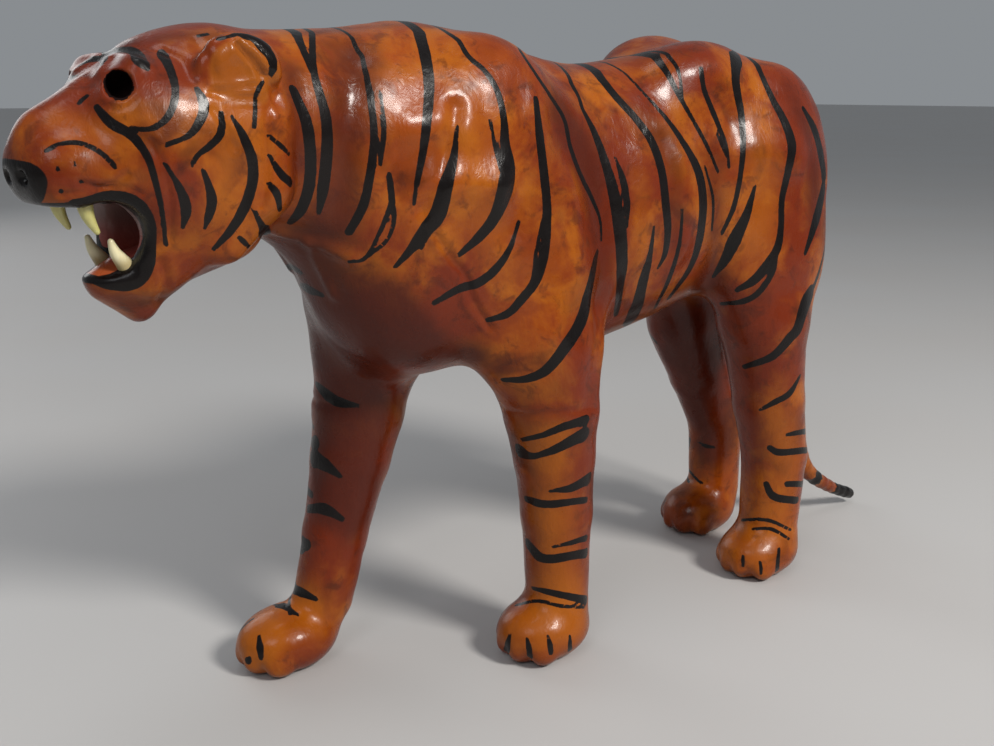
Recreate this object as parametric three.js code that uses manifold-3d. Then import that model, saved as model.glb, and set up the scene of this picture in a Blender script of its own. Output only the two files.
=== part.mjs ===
// A standing tiger ornament: one leather-covered figure, 250 mm high at the withers, that snarls with an open
// mouth. Four carved canine teeth are set in sockets in its gums. It faces -X, its left flank faces -Y, and +Z is
// up. The origin is on the floor, under the middle of its length and width.
import * as THREE from "three";
import Module from "manifold-3d";
import { mergeVertices } from "three/addons/utils/BufferGeometryUtils.js";

// Driving dimensions, in millimetres
const WITHERS_HEIGHT = 250; // floor to the top of the shoulders
const EYE_HOLE_RADIUS = 4.4;
const EYE_HOLE_DEPTH = 7;
const NOSTRIL_RADIUS = 1.8;
const CANINE_ROOT_RADIUS = 2.6;
const CANINE_TIP_RADIUS = 0.6;
const UPPER_CANINE_LENGTH = 11.5; // gum to tip
const LOWER_CANINE_LENGTH = 9.8;
const CANINE_SOCKET_DEPTH = 3.5;
const CANINE_CLEARANCE = 0.35; // between a tooth and its socket, all round
const CANINE_CURVE = 0.8; // how far the middle of a tooth bows forward
const TAIL_ROOT_RADIUS = 7.5;
const TAIL_TIP_RADIUS = 3;

// The figure's free forms are drawn for a figure 250 mm high, and follow its height as shares of it.
const DRAWN_HEIGHT = 250;
const share = WITHERS_HEIGHT / DRAWN_HEIGHT;
// In the drawing, x is measured from the left forefoot, and the finished figure is centred on its length.
const MIDDLE_OF_LENGTH = 30.2;

// Mesh fineness, in the drawing's millimetres
const BODY_CELL = [11.6, 9, 9.2];
const BODY_ENDS = [-150, 190]; // from ahead of the chest to behind the rump
const BESIDE_LEGS = 32; // from the middle of a leg to outside the thigh
const BODY_HEIGHTS = [-20, 264]; // from below the floor to above the withers
const HEAD_CELL = 4.6;
const TAIL_STEPS = 18;
const ROUND_SIDES = 8;

const wasm = await Module();
wasm.setup();

const SIDES = [-1, 1]; // left and right in the figure's frame

// Implicit forms: each is a function of a point, negative inside and about the distance in millimetres outside.

// An ellipsoid, turned by pitch about Y and then by yaw about Z, in degrees.
function ball([cx, cy, cz], [rx, ry, rz], pitch = 0, yaw = 0) {
  const turn = new THREE.Matrix3().setFromMatrix4(
    new THREE.Matrix4().makeRotationFromEuler(
      new THREE.Euler(0, THREE.MathUtils.degToRad(pitch), THREE.MathUtils.degToRad(yaw), "ZYX"),
    ),
  );
  const m = turn.transpose().elements;
  return (x, y, z) => {
    const dx = x - cx;
    const dy = y - cy;
    const dz = z - cz;
    const a = (m[0] * dx + m[3] * dy + m[6] * dz) / rx;
    const b = (m[1] * dx + m[4] * dy + m[7] * dz) / ry;
    const c = (m[2] * dx + m[5] * dy + m[8] * dz) / rz;
    const near = Math.hypot(a, b, c);
    const slope = Math.hypot(a / rx, b / ry, c / rz);
    return slope < 1e-9 ? -Math.min(rx, ry, rz) : (near * (near - 1)) / slope;
  };
}

// A tapering limb with round ends, from one point and radius to another. width is its breadth across Y, as a
// share of its breadth along X.
function limb([ax, ay, az], ra, [bx, by, bz], rb, width = 1) {
  const bax = bx - ax;
  const bay = (by - ay) / width;
  const baz = bz - az;
  const l2 = bax * bax + bay * bay + baz * baz;
  const rr = ra - rb;
  const a2 = l2 - rr * rr;
  const il2 = 1 / l2;
  return (x, y, z) => {
    const pax = x - ax;
    const pay = (y - ay) / width;
    const paz = z - az;
    const yy = pax * bax + pay * bay + paz * baz;
    const zz = yy - l2;
    const qx = pax * l2 - bax * yy;
    const qy = pay * l2 - bay * yy;
    const qz = paz * l2 - baz * yy;
    const x2 = qx * qx + qy * qy + qz * qz;
    const y2 = yy * yy * l2;
    const z2 = zz * zz * l2;
    const k = Math.sign(rr) * rr * rr * x2;
    if (Math.sign(zz) * a2 * z2 > k) return Math.sqrt(x2 + z2) * il2 - rb;
    if (Math.sign(yy) * a2 * y2 < k) return Math.sqrt(x2 + y2) * il2 - ra;
    return (Math.sqrt(x2 * a2 * il2) + yy * rr) * il2 - ra;
  };
}

// Joins b to a with a fillet about reach wide.
function blend(a, b, reach) {
  const h = Math.max(reach - Math.abs(a - b), 0) / reach;
  return Math.min(a, b) - (h * h * reach) / 4;
}

// Cuts b out of a, with its edge rounded by about reach.
const carve = (a, b, reach) => -blend(-a, b, reach);

// Each row is a form and how softly it flows into the ones before it.
function flesh(rows) {
  return (x, y, z) => {
    let d = 1e3;
    for (const [form, reach] of rows) d = blend(d, form(x, y, z), reach);
    return d;
  };
}

// The trunk: chest, withers, ribs, loin, rump, the two hip bones and the neck.
const trunk = flesh([
  [ball([-44, 0, 178], [47, 38, 57]), 1],
  [ball([-24, 0, 205], [50, 30, 42]), 20],
  [ball([30, 0, 180], [68, 37, 58]), 20],
  [ball([78, 0, 188], [50, 35, 54]), 20],
  [ball([116, 0, 193], [44, 36, 50]), 20],
  [ball([90, -17, 232], [26, 14, 15]), 16],
  [ball([98, 19, 235], [26, 14, 16]), 16],
  [limb([-99, -2, 213], 34.5, [-56, 0, 207], 42.5, 0.86), 20],
]);

// A leg is a chain of joints, each [x, z, radius], in the upright plane that the leg stands in. Flattened
// muscles, each [middle, radii, lean, blend], lie over its top, and a paw is at its foot.
const TRACK = 28; // from the figure's middle plane to the middle of each leg
const PAW = [21, 17, 13];
const PAW_RISE = 10.5; // the middle of a paw over its sole
const PAW_AT = [0, -90, 135, 153]; // left fore, right fore, left hind, right hind
const LEG_SIDE = [-1, 1, -1, 1];

function leg(side, muscles, joints, pawX) {
  const y = side * TRACK;
  const rows = [];
  for (const [[x, out, z], radii, lean, reach] of muscles)
    rows.push([ball([x, side * out, z], radii, lean), reach]);
  joints.slice(1).forEach(([x, z, radius], i) => {
    const [x0, z0, radius0] = joints[i];
    rows.push([limb([x0, y, z0], radius0, [x, y, z], radius), i ? 1 : 12]);
  });
  rows.push([ball([pawX, y, PAW_RISE], PAW), 7]);
  return flesh(rows);
}

const LEG_FORMS = [
  [
    [
      [[-22, 22, 200], [32, 20, 46], -8, 1],
      [[-5, 26, 150], [32, 19, 36], 0, 16],
    ],
    [
      [-1, 126, 21.5],
      [2.5, 104, 19],
      [4.5, 84, 16.3],
      [6, 60, 14.5],
      [7, 24, 12.8],
    ],
  ],
  [
    [
      [[-38, 22, 200], [32, 20, 46], 0, 1],
      [[-45, 26, 150], [30, 19, 38], 8, 16],
    ],
    [
      [-49, 122, 20.5],
      [-53, 102, 18.6],
      [-58, 82, 16],
      [-66, 50, 13],
      [-73, 24, 12],
    ],
  ],
  [
    [
      [[130, 24, 186], [35, 20, 52], 0, 1],
      [[130, 27, 148], [29, 18, 32], 0, 16],
    ],
    [
      [129, 122, 19.5],
      [136, 86, 16.3],
      [143, 58, 15.2],
      [141, 22, 14],
    ],
  ],
  [
    [
      [[132, 24, 186], [35, 20, 52], 0, 1],
      [[132, 27, 146], [28, 18, 32], -12, 16],
    ],
    [
      [136, 114, 18.5],
      [149, 86, 15.7],
      [163, 58, 14],
      [164, 22, 13],
    ],
  ],
];
const legs = LEG_FORMS.map(([muscles, joints], i) => leg(LEG_SIDE[i], muscles, joints, PAW_AT[i]));

// The head is drawn in a frame of its own: forward, to its left and up from the middle of the skull.
const HEAD_TURN = THREE.MathUtils.degToRad(10); // it looks a little to its left
const HEAD_AT = [-121.6, -5.6, 212];
const headPlace = new THREE.Matrix4()
  .makeRotationZ(Math.PI + HEAD_TURN)
  .setPosition(new THREE.Vector3(...HEAD_AT));

const head = (() => {
  const skull = flesh([
    [ball([6, 0, 6], [36, 27, 29]), 1],
    [limb([-28, 0, 3], 30, [0, 0, 4], 28, 0.95), 12],
    [limb([24, 0, 8], 17, [56, 0, -0.5], 10, 0.85), 12],
    [limb([34, 0, 13.5], 8.6, [56, 0, 3.5], 6.3, 0.9), 8],
    [ball([59, 0, -5], [8.5, 9, 8.5]), 5],
    [ball([55.5, 0, -11.5], [8.5, 11, 7]), 5],
    [limb([2, 0, -26], 14, [30, 0, -40.5], 7.2, 1.25), 10],
    [ball([34.5, 0, -41], [13.8, 12.5, 6.4], -10), 5],
    [limb([42, 0, -42.5], 3.8, [32, 0, -50], 5, 1.1), 7],
    ...SIDES.flatMap((s) => [
      [ball([33, s * 13, 11], [12, 9, 11]), 8],
      [ball([34, s * 13, 19.5], [7, 6.5, 5]), 5],
      [ball([50, s * 8, -6.5], [15, 10, 11.5]), 7],
      [ball([20, s * 15, -6], [24, 15, 24]), 12],
      [ball([27, s * 11, -27], [11.5, 7.5, 15]), 8],
      [limb([-1, s * 24, 6], 7.2, [-1, s * 24, -14], 7.6), 8],
      [limb([-1, s * 24, -14], 7.6, [10, s * 17, -30], 7), 5],
    ]),
  ]);
  const ears = flesh(SIDES.map((s) => [ball([7.5, s * 26.5, 22.3], [13, 5.2, 10.2], 0, s * -14), 1]));
  const earHollows = flesh(SIDES.map((s) => [ball([9, s * 34, 21.6], [10, 5, 7.5], 0, s * -14), 1]));
  const mouth = flesh([
    [ball([57, 0, -27.1], [17, 34, 10.6]), 1],
    [ball([46.5, 0, -26.5], [11, 34, 11.9]), 1],
    [ball([38, 0, -26], [21, 9, 9.2]), 4],
  ]);
  const tongue = ball([30, 0, -36.5], [18, 7.5, 5.5], 12);
  return (x, y, z) => {
    let d = blend(skull(x, y, z), ears(x, y, z), 3);
    d = carve(d, earHollows(x, y, z), 2);
    d = carve(d, mouth(x, y, z), 2.5);
    return blend(d, tongue(x, y, z), 2);
  };
})();

function torso(x, y, z) {
  let d = trunk(x, y, z);
  for (const each of legs) d = blend(d, each(x, y, z), 14);
  return d;
}

// Lines from low to past high, cell apart.
function gridLines(low, high, cell) {
  return Array.from({ length: Math.ceil((high - low) / cell) + 1 }, (_, i) => low + i * cell);
}

// Where two diagonal corners of a cell's face are inside and the other two are outside, the surface would
// pinch. The corner nearest the surface is moved to the other side until no such face is left.
function unpinch(values, nx, ny, nz) {
  const at = (i, j, k) => (k * ny + j) * nx + i;
  for (let round = 0; round < 20; round++) {
    let moved = 0;
    const settle = (corners) => {
      const inside = corners.map((c) => values[c] < 0);
      if (inside[0] === inside[2] && inside[1] === inside[3] && inside[0] !== inside[1]) {
        const flip = corners.reduce((m, c) => (Math.abs(values[c]) < Math.abs(values[m]) ? c : m));
        values[flip] = values[flip] < 0 ? 1e-3 : -1e-3;
        moved++;
      }
    };
    for (let k = 0; k < nz - 1; k++)
      for (let j = 0; j < ny - 1; j++)
        for (let i = 0; i < nx - 1; i++) {
          settle([at(i, j, k), at(i + 1, j, k), at(i + 1, j + 1, k), at(i, j + 1, k)]);
          settle([at(i, j, k), at(i + 1, j, k), at(i + 1, j, k + 1), at(i, j, k + 1)]);
          settle([at(i, j, k), at(i, j + 1, k), at(i, j + 1, k + 1), at(i, j, k + 1)]);
        }
    if (!moved) return;
  }
}

// Moves a point onto the surface along the form's slope, by no more than limit.
function ontoSurface(form, [x, y, z], limit) {
  const e = 0.05;
  const d = form(x, y, z);
  const gx = (form(x + e, y, z) - d) / e;
  const gy = (form(x, y + e, z) - d) / e;
  const gz = (form(x, y, z + e) - d) / e;
  const g2 = Math.max(gx * gx + gy * gy + gz * gz, 0.04);
  const step = THREE.MathUtils.clamp(d / g2, -limit, limit);
  return [x - gx * step, y - gy * step, z - gz * step];
}

// The closed surface where the form is zero, as one vertex in each cell that it crosses.
function surfaceOf(form, xs, ys, zs) {
  const nx = xs.length;
  const ny = ys.length;
  const nz = zs.length;
  const values = new Float64Array(nx * ny * nz);
  for (let k = 0, n = 0; k < nz; k++)
    for (let j = 0; j < ny; j++) for (let i = 0; i < nx; i++, n++) values[n] = form(xs[i], ys[j], zs[k]);
  unpinch(values, nx, ny, nz);
  const vertexOf = new Int32Array(nx * ny * nz).fill(-1);
  const vertices = [];
  const at = (i, j, k) => (k * ny + j) * nx + i;
  for (let k = 0; k < nz - 1; k++)
    for (let j = 0; j < ny - 1; j++)
      for (let i = 0; i < nx - 1; i++) {
        let count = 0;
        const sum = [0, 0, 0];
        const edge = (i0, j0, k0, axis) => {
          const a = values[at(i0, j0, k0)];
          const b = values[at(i0 + (axis === 0), j0 + (axis === 1), k0 + (axis === 2))];
          if (a < 0 === b < 0) return;
          const t = a / (a - b);
          sum[0] += xs[i0] + (axis === 0 ? t * (xs[i0 + 1] - xs[i0]) : 0);
          sum[1] += ys[j0] + (axis === 1 ? t * (ys[j0 + 1] - ys[j0]) : 0);
          sum[2] += zs[k0] + (axis === 2 ? t * (zs[k0 + 1] - zs[k0]) : 0);
          count++;
        };
        for (const u of [0, 1])
          for (const v of [0, 1]) {
            edge(i, j + u, k + v, 0);
            edge(i + u, j, k + v, 1);
            edge(i + u, j + v, k, 2);
          }
        if (!count) continue;
        vertexOf[at(i, j, k)] = vertices.length / 3;
        const limit = 0.3 * Math.min(xs[i + 1] - xs[i], ys[j + 1] - ys[j], zs[k + 1] - zs[k]);
        vertices.push(...ontoSurface(form, sum.map((s) => s / count), limit));
      }
  const faces = [];
  const quad = (a, b, c, d, out) => (out ? faces.push(a, b, c, a, c, d) : faces.push(a, c, b, a, d, c));
  for (let k = 1; k < nz - 1; k++)
    for (let j = 1; j < ny - 1; j++)
      for (let i = 1; i < nx - 1; i++) {
        const here = values[at(i, j, k)] < 0;
        const v = (di, dj, dk) => vertexOf[at(i - di, j - dj, k - dk)];
        if (here !== values[at(i + 1, j, k)] < 0) quad(v(0, 1, 1), v(0, 0, 1), v(0, 0, 0), v(0, 1, 0), here);
        if (here !== values[at(i, j + 1, k)] < 0) quad(v(1, 0, 1), v(1, 0, 0), v(0, 0, 0), v(0, 0, 1), here);
        if (here !== values[at(i, j, k + 1)] < 0) quad(v(1, 1, 0), v(0, 1, 0), v(0, 0, 0), v(1, 0, 0), here);
      }
  const geometry = new THREE.BufferGeometry();
  geometry.setAttribute("position", new THREE.Float32BufferAttribute(vertices, 3));
  geometry.setIndex(faces);
  return geometry;
}

function toSolid(geometry) {
  const merged = geometry.clone();
  merged.deleteAttribute("normal");
  merged.deleteAttribute("uv");
  const welded = mergeVertices(merged, 1e-4);
  return new wasm.Manifold(
    new wasm.Mesh({
      numProp: 3,
      vertProperties: new Float32Array(welded.attributes.position.array),
      triVerts: new Uint32Array(welded.index.array),
    }),
  );
}

function toGeometry(solid) {
  const { vertProperties, triVerts } = solid.getMesh();
  const geometry = new THREE.BufferGeometry();
  geometry.setAttribute("position", new THREE.BufferAttribute(new Float32Array(vertProperties), 3));
  geometry.setIndex(new THREE.BufferAttribute(new Uint32Array(triVerts), 1));
  return geometry;
}

// A round tube along a curve in a plane square to across, with closed ends. radiusAt takes the share of the
// way along it.
function taperedTube(curve, steps, sides, radiusAt, across = new THREE.Vector3(0, 1, 0)) {
  const vertices = [];
  const faces = [];
  for (let i = 0; i <= steps; i++) {
    const middle = curve.getPointAt(i / steps);
    const out = new THREE.Vector3().crossVectors(across, curve.getTangentAt(i / steps));
    for (let n = 0; n < sides; n++) {
      const turn = (2 * Math.PI * n) / sides;
      const v = middle
        .clone()
        .addScaledVector(out, radiusAt(i / steps) * Math.cos(turn))
        .addScaledVector(across, radiusAt(i / steps) * Math.sin(turn));
      vertices.push(v.x, v.y, v.z);
    }
  }
  const ring = (i, n) => i * sides + (n % sides);
  for (let i = 0; i < steps; i++)
    for (let n = 0; n < sides; n++) {
      faces.push(ring(i, n), ring(i + 1, n + 1), ring(i + 1, n));
      faces.push(ring(i, n), ring(i, n + 1), ring(i + 1, n + 1));
    }
  for (let n = 1; n < sides - 1; n++) {
    faces.push(ring(0, 0), ring(0, n + 1), ring(0, n));
    faces.push(ring(steps, 0), ring(steps, n), ring(steps, n + 1));
  }
  const geometry = new THREE.BufferGeometry();
  geometry.setAttribute("position", new THREE.Float32BufferAttribute(vertices, 3));
  geometry.setIndex(faces);
  return geometry;
}

// One leather skin covers the trunk, legs, head and tail, so they are joined into one solid.
const torsoGeometry = surfaceOf(
  torso,
  gridLines(...BODY_ENDS, BODY_CELL[0]),
  gridLines(-TRACK - BESIDE_LEGS, TRACK + BESIDE_LEGS, BODY_CELL[1]),
  gridLines(...BODY_HEIGHTS, BODY_CELL[2]),
);
const headGeometry = surfaceOf(
  head,
  gridLines(-72, 76, HEAD_CELL),
  gridLines(-43, 43, HEAD_CELL),
  gridLines(-66, 46, HEAD_CELL),
);
let figure = toSolid(torsoGeometry).add(toSolid(headGeometry.applyMatrix4(headPlace)));

// The tail hangs from the rump and sweeps back near the floor.
const tailLine = new THREE.CatmullRomCurve3(
  [
    [150, 0, 212],
    [171, 0, 197],
    [181, 0, 160],
    [186, 0, 110],
    [192, 0, 62],
    [204, 0, 31],
    [226, 0, 15],
    [248, 0, 5],
  ].map(([x, y, z]) => new THREE.Vector3(x, y, z)),
);
const tailRadius = (t) => THREE.MathUtils.lerp(TAIL_ROOT_RADIUS, TAIL_TIP_RADIUS, t) / share;
figure = figure.add(toSolid(taperedTube(tailLine, TAIL_STEPS, ROUND_SIDES, tailRadius)));

// Four toes across the front of each paw, in an arc
const TOES = 4;
const TOE = [7.5, 4.7, 6.6];
const TOE_RISE = 0.6; // from the floor to a toe's underside
const TOE_PITCH = 7.6;
const TOE_REACH = 14; // how far the front of the arc is ahead of the middle of the paw
const TOE_ARC = 14; // its radius
for (const [i, pawX] of PAW_AT.entries())
  for (let n = 0; n < TOES; n++) {
    const aside = (n - (TOES - 1) / 2) * TOE_PITCH;
    const toe = new THREE.SphereGeometry(1, 7, 5).rotateX(Math.PI / 2).scale(...TOE);
    const back = TOE_ARC - Math.sqrt(TOE_ARC ** 2 - aside ** 2);
    toe.translate(pawX - TOE_REACH + back, LEG_SIDE[i] * TRACK + aside, TOE[2] + TOE_RISE);
    figure = figure.add(toSolid(toe));
  }

// The soles are flat where they stand on the floor.
const FLOOR_BLOCK = 600;
const belowFloor = new THREE.BoxGeometry(FLOOR_BLOCK, FLOOR_BLOCK, FLOOR_BLOCK);
belowFloor.translate(0, 0, -FLOOR_BLOCK / 2);
figure = figure.subtract(toSolid(belowFloor));

// Empty round eye holes, and two nostrils
const EYE_AT = [42, 17, 17.6];
const EYE_SIDES = 12;
const NOSTRIL_AT = [67, 4.4, -8];
for (const s of SIDES) {
  const skin = new THREE.Vector3(EYE_AT[0], s * EYE_AT[1], EYE_AT[2]);
  const inward = new THREE.Vector3(-0.52, s * -0.85, 0).normalize();
  const outside = skin.clone().addScaledVector(inward, -EYE_HOLE_RADIUS);
  const bottom = skin.clone().addScaledVector(inward, EYE_HOLE_DEPTH / share);
  const upright = new THREE.Vector3(0, 0, 1);
  const eyeLine = new THREE.LineCurve3(outside, bottom);
  const hole = taperedTube(eyeLine, 1, EYE_SIDES, () => EYE_HOLE_RADIUS / share, upright);
  figure = figure.subtract(toSolid(hole.applyMatrix4(headPlace)));
  const nostril = new THREE.SphereGeometry(NOSTRIL_RADIUS / share, ROUND_SIDES, 6);
  nostril.translate(NOSTRIL_AT[0], s * NOSTRIL_AT[1], NOSTRIL_AT[2]);
  figure = figure.subtract(toSolid(nostril.applyMatrix4(headPlace)));
}

// A canine's line, from the bottom of its socket through the gum to its tip, bowed forward in the middle
function canineLine(gum, lean, length, deep) {
  const along = new THREE.Vector3(Math.sin(lean), 0, Math.cos(lean));
  const forward = new THREE.Vector3(Math.abs(along.z), 0, 0);
  const at = (distance, bow) => gum.clone().addScaledVector(along, distance).addScaledVector(forward, bow);
  const bowed = at(length / 2, CANINE_CURVE / share);
  return new THREE.CatmullRomCurve3([at(-deep, 0), at(0, 0), bowed, at(length, 0)]);
}

const CANINE_STEPS = 4;
const CANINES = [
  { name: "upper", gum: [51.6, 9, -14.5], lean: 200, length: UPPER_CANINE_LENGTH / share },
  { name: "lower", gum: [39, 7.2, -35.8], lean: 27, length: LOWER_CANINE_LENGTH / share },
];
const ivory = new THREE.MeshStandardMaterial({ color: 0xd9cfa6, roughness: 0.3, metalness: 0 });
const teeth = [];
for (const { name, gum, lean, length } of CANINES)
  for (const s of SIDES) {
    const foot = new THREE.Vector3(gum[0], s * gum[1], gum[2]);
    const angle = THREE.MathUtils.degToRad(lean);
    const deep = CANINE_SOCKET_DEPTH / share;
    const radiusAt = (t) => {
      const shown = Math.max(0, (t * (length + deep) - deep) / length);
      return THREE.MathUtils.lerp(CANINE_ROOT_RADIUS, CANINE_TIP_RADIUS, shown ** 1.3) / share;
    };
    const tooth = taperedTube(canineLine(foot, angle, length, deep), CANINE_STEPS, ROUND_SIDES, radiusAt);
    const gap = CANINE_CLEARANCE / share;
    const socketLine = canineLine(foot, angle, length, deep + gap);
    const socket = taperedTube(socketLine, CANINE_STEPS, ROUND_SIDES, (t) => radiusAt(t) + gap);
    figure = figure.subtract(toSolid(socket.applyMatrix4(headPlace)));
    const mesh = new THREE.Mesh(tooth.applyMatrix4(headPlace), ivory);
    mesh.name = `${name}_${s > 0 ? "left" : "right"}_canine`;
    teeth.push(mesh);
  }

const leather = new THREE.MeshStandardMaterial({ color: 0xb4601f, roughness: 0.35, metalness: 0 });
const body = new THREE.Mesh(toGeometry(figure), leather);
body.name = "leather_body";

// The drawing is brought to the figure's own height, and its middle over the origin.
const tiger = new THREE.Group();
for (const mesh of [body, ...teeth]) {
  mesh.geometry.scale(share, share, share).translate(-MIDDLE_OF_LENGTH * share, 0, 0);
  tiger.add(mesh);
}

export default tiger;
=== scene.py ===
import math

import bpy
import numpy as np
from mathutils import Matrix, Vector
from mathutils.bvhtree import BVHTree


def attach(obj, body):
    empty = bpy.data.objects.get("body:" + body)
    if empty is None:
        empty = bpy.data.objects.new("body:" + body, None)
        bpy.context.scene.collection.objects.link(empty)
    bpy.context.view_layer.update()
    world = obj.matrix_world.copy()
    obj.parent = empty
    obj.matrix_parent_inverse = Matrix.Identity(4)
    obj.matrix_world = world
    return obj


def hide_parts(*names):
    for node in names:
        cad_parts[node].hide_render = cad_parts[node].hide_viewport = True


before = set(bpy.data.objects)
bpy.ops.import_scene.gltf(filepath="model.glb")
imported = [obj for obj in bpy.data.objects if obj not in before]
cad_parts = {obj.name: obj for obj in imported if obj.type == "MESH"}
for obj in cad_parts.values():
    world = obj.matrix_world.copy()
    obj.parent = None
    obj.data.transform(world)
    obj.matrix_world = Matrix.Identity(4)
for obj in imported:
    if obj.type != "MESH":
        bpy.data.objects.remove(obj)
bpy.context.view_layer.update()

# The viewpoint: a camera a little in front of the tiger's left shoulder, at the height of its head, looking
# slightly down. A place given in pixels further on is a place in this camera's picture.
PICTURE_WIDTH = 994
PICTURE_HEIGHT = 746
FOCAL_PIXELS = 1100
SENSOR_MM = 36
CAMERA_AT = np.array([-0.2971, -0.3529, 0.228])
HEADING = np.array([0.5983, 0.8013, 0.0])
LOOK_DOWN = math.atan(283 / FOCAL_PIXELS)

camera_forward = HEADING * math.cos(LOOK_DOWN) - np.array([0, 0, math.sin(LOOK_DOWN)])
camera_right = np.array([HEADING[1], -HEADING[0], 0.0])
camera_down = np.cross(camera_forward, camera_right)


def make_camera():
    data = bpy.data.cameras.new("camera")
    data.sensor_width = SENSOR_MM
    data.lens = SENSOR_MM * FOCAL_PIXELS / PICTURE_WIDTH
    data.clip_start = 0.01
    camera = bpy.data.objects.new("camera", data)
    camera.location = CAMERA_AT
    camera.rotation_euler = Vector(camera_forward).to_track_quat("-Z", "Y").to_euler()
    bpy.context.scene.collection.objects.link(camera)
    bpy.context.scene.camera = camera


make_camera()


# The body: one leather skin, moulded wet by hand over a light core, so that its muscles show as soft forms.
# It is drawn in millimetres for a figure 250 mm high, with x measured from the left forefoot. Each form
# is a function of points, negative inside and about the distance in millimetres outside.
MM = 0.001
MIDDLE_OF_LENGTH = 30.2
OUTSIDE = 60.0
NEAR_FORM = 24.0


def ball(centre, radii, pitch=0, yaw=0):
    """An ellipsoid, turned by pitch about Y and then by yaw about Z, in degrees, with its bounds."""
    centre = np.array(centre, float)
    radii = np.array(radii, float)
    a = math.radians(pitch)
    b = math.radians(yaw)
    about_y = np.array([[math.cos(a), 0, math.sin(a)], [0, 1, 0], [-math.sin(a), 0, math.cos(a)]])
    about_z = np.array([[math.cos(b), -math.sin(b), 0], [math.sin(b), math.cos(b), 0], [0, 0, 1]])
    turn = about_z @ about_y

    def distance(p):
        q = (p - centre) @ turn / radii
        near = np.linalg.norm(q, axis=1)
        slope = np.linalg.norm(q / radii, axis=1)
        return near * (near - 1) / np.maximum(slope, 1e-6)

    return distance, centre - radii.max(), centre + radii.max()


def limb(start, start_radius, end, end_radius, width=1.0):
    """A tapering limb with round ends. width is its breadth across Y, as a share of its breadth along X."""
    start = np.array(start, float)
    end = np.array(end, float)
    squeeze = np.array([1, width, 1])
    along = (end - start) / squeeze
    l2 = along @ along
    drop = start_radius - end_radius
    a2 = l2 - drop * drop

    def distance(p):
        q = (p - start) / squeeze
        yy = q @ along
        zz = yy - l2
        x2 = ((q * l2 - yy[:, None] * along) ** 2).sum(axis=1)
        y2 = yy * yy * l2
        z2 = zz * zz * l2
        k = np.sign(drop) * drop * drop * x2
        past_end = np.sqrt(x2 + z2) / l2 - end_radius
        past_start = np.sqrt(x2 + y2) / l2 - start_radius
        beside = (np.sqrt(x2 * a2 / l2) + yy * drop) / l2 - start_radius
        body = np.where(np.sign(yy) * a2 * y2 < k, past_start, beside)
        return np.where(np.sign(zz) * a2 * z2 > k, past_end, body)

    room = max(start_radius, end_radius) * max(1, width)
    return distance, np.minimum(start, end) - room, np.maximum(start, end) + room


def blend(a, b, reach):
    """Joins b to a with a fillet about reach wide."""
    h = np.maximum(reach - np.abs(a - b), 0) / reach
    return np.minimum(a, b) - h * h * reach / 4


def carve(a, b, reach):
    """Cuts b out of a, with its edge rounded by about reach."""
    return -blend(-a, b, reach)


def flesh(rows):
    """Joins forms in order, each [form, how softly it flows into the ones before it]."""

    def distance(p):
        d = np.full(len(p), OUTSIDE)
        for (shape, low, high), reach in rows:
            near = np.all((p > low - NEAR_FORM) & (p < high + NEAR_FORM), axis=1)
            if near.any():
                d[near] = blend(d[near], shape(p[near]), reach)
        return d

    return distance


trunk = flesh(
    [
        [ball([-44, 0, 178], [47, 38, 57]), 1],
        [ball([-24, 0, 205], [50, 30, 42]), 20],
        [ball([30, 0, 180], [68, 37, 58]), 20],
        [ball([78, 0, 188], [50, 35, 54]), 20],
        [ball([116, 0, 193], [44, 36, 50]), 20],
        [ball([90, -17, 232], [26, 14, 15]), 16],
        [ball([98, 19, 235], [26, 14, 16]), 16],
        [limb([-99, -2, 213], 34.5, [-56, 0, 207], 42.5, 0.86), 20],
    ]
)

TRACK = 28
PAW = [21, 17, 13]
PAW_RISE = 10.5
LEGS = {
    "left_fore": {
        "side": -1,
        "paw": 0,
        "muscles": [[[-22, 22, 200], [32, 20, 46], -8, 1], [[-5, 26, 150], [32, 19, 36], 0, 16]],
        "joints": [[-1, 126, 21.5], [2.5, 104, 19], [4.5, 84, 16.3], [6, 60, 14.5], [7, 24, 12.8]],
    },
    "right_fore": {
        "side": 1,
        "paw": -90,
        "muscles": [[[-38, 22, 200], [32, 20, 46], 0, 1], [[-45, 26, 150], [30, 19, 38], 8, 16]],
        "joints": [[-49, 122, 20.5], [-53, 102, 18.6], [-58, 82, 16], [-66, 50, 13], [-73, 24, 12]],
    },
    "left_hind": {
        "side": -1,
        "paw": 135,
        "muscles": [[[130, 24, 186], [35, 20, 52], 0, 1], [[130, 27, 148], [29, 18, 32], 0, 16]],
        "joints": [[129, 122, 19.5], [136, 86, 16.3], [143, 58, 15.2], [141, 22, 14]],
    },
    "right_hind": {
        "side": 1,
        "paw": 153,
        "muscles": [[[132, 24, 186], [35, 20, 52], 0, 1], [[132, 27, 146], [28, 18, 32], -12, 16]],
        "joints": [[136, 114, 18.5], [149, 86, 15.7], [163, 58, 14], [164, 22, 13]],
    },
}
TOES = 4
TOE = [7.5, 4.7, 6.6]
TOE_RISE = 0.6
TOE_PITCH = 7.6
TOE_REACH = 14
TOE_ARC = 14


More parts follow.
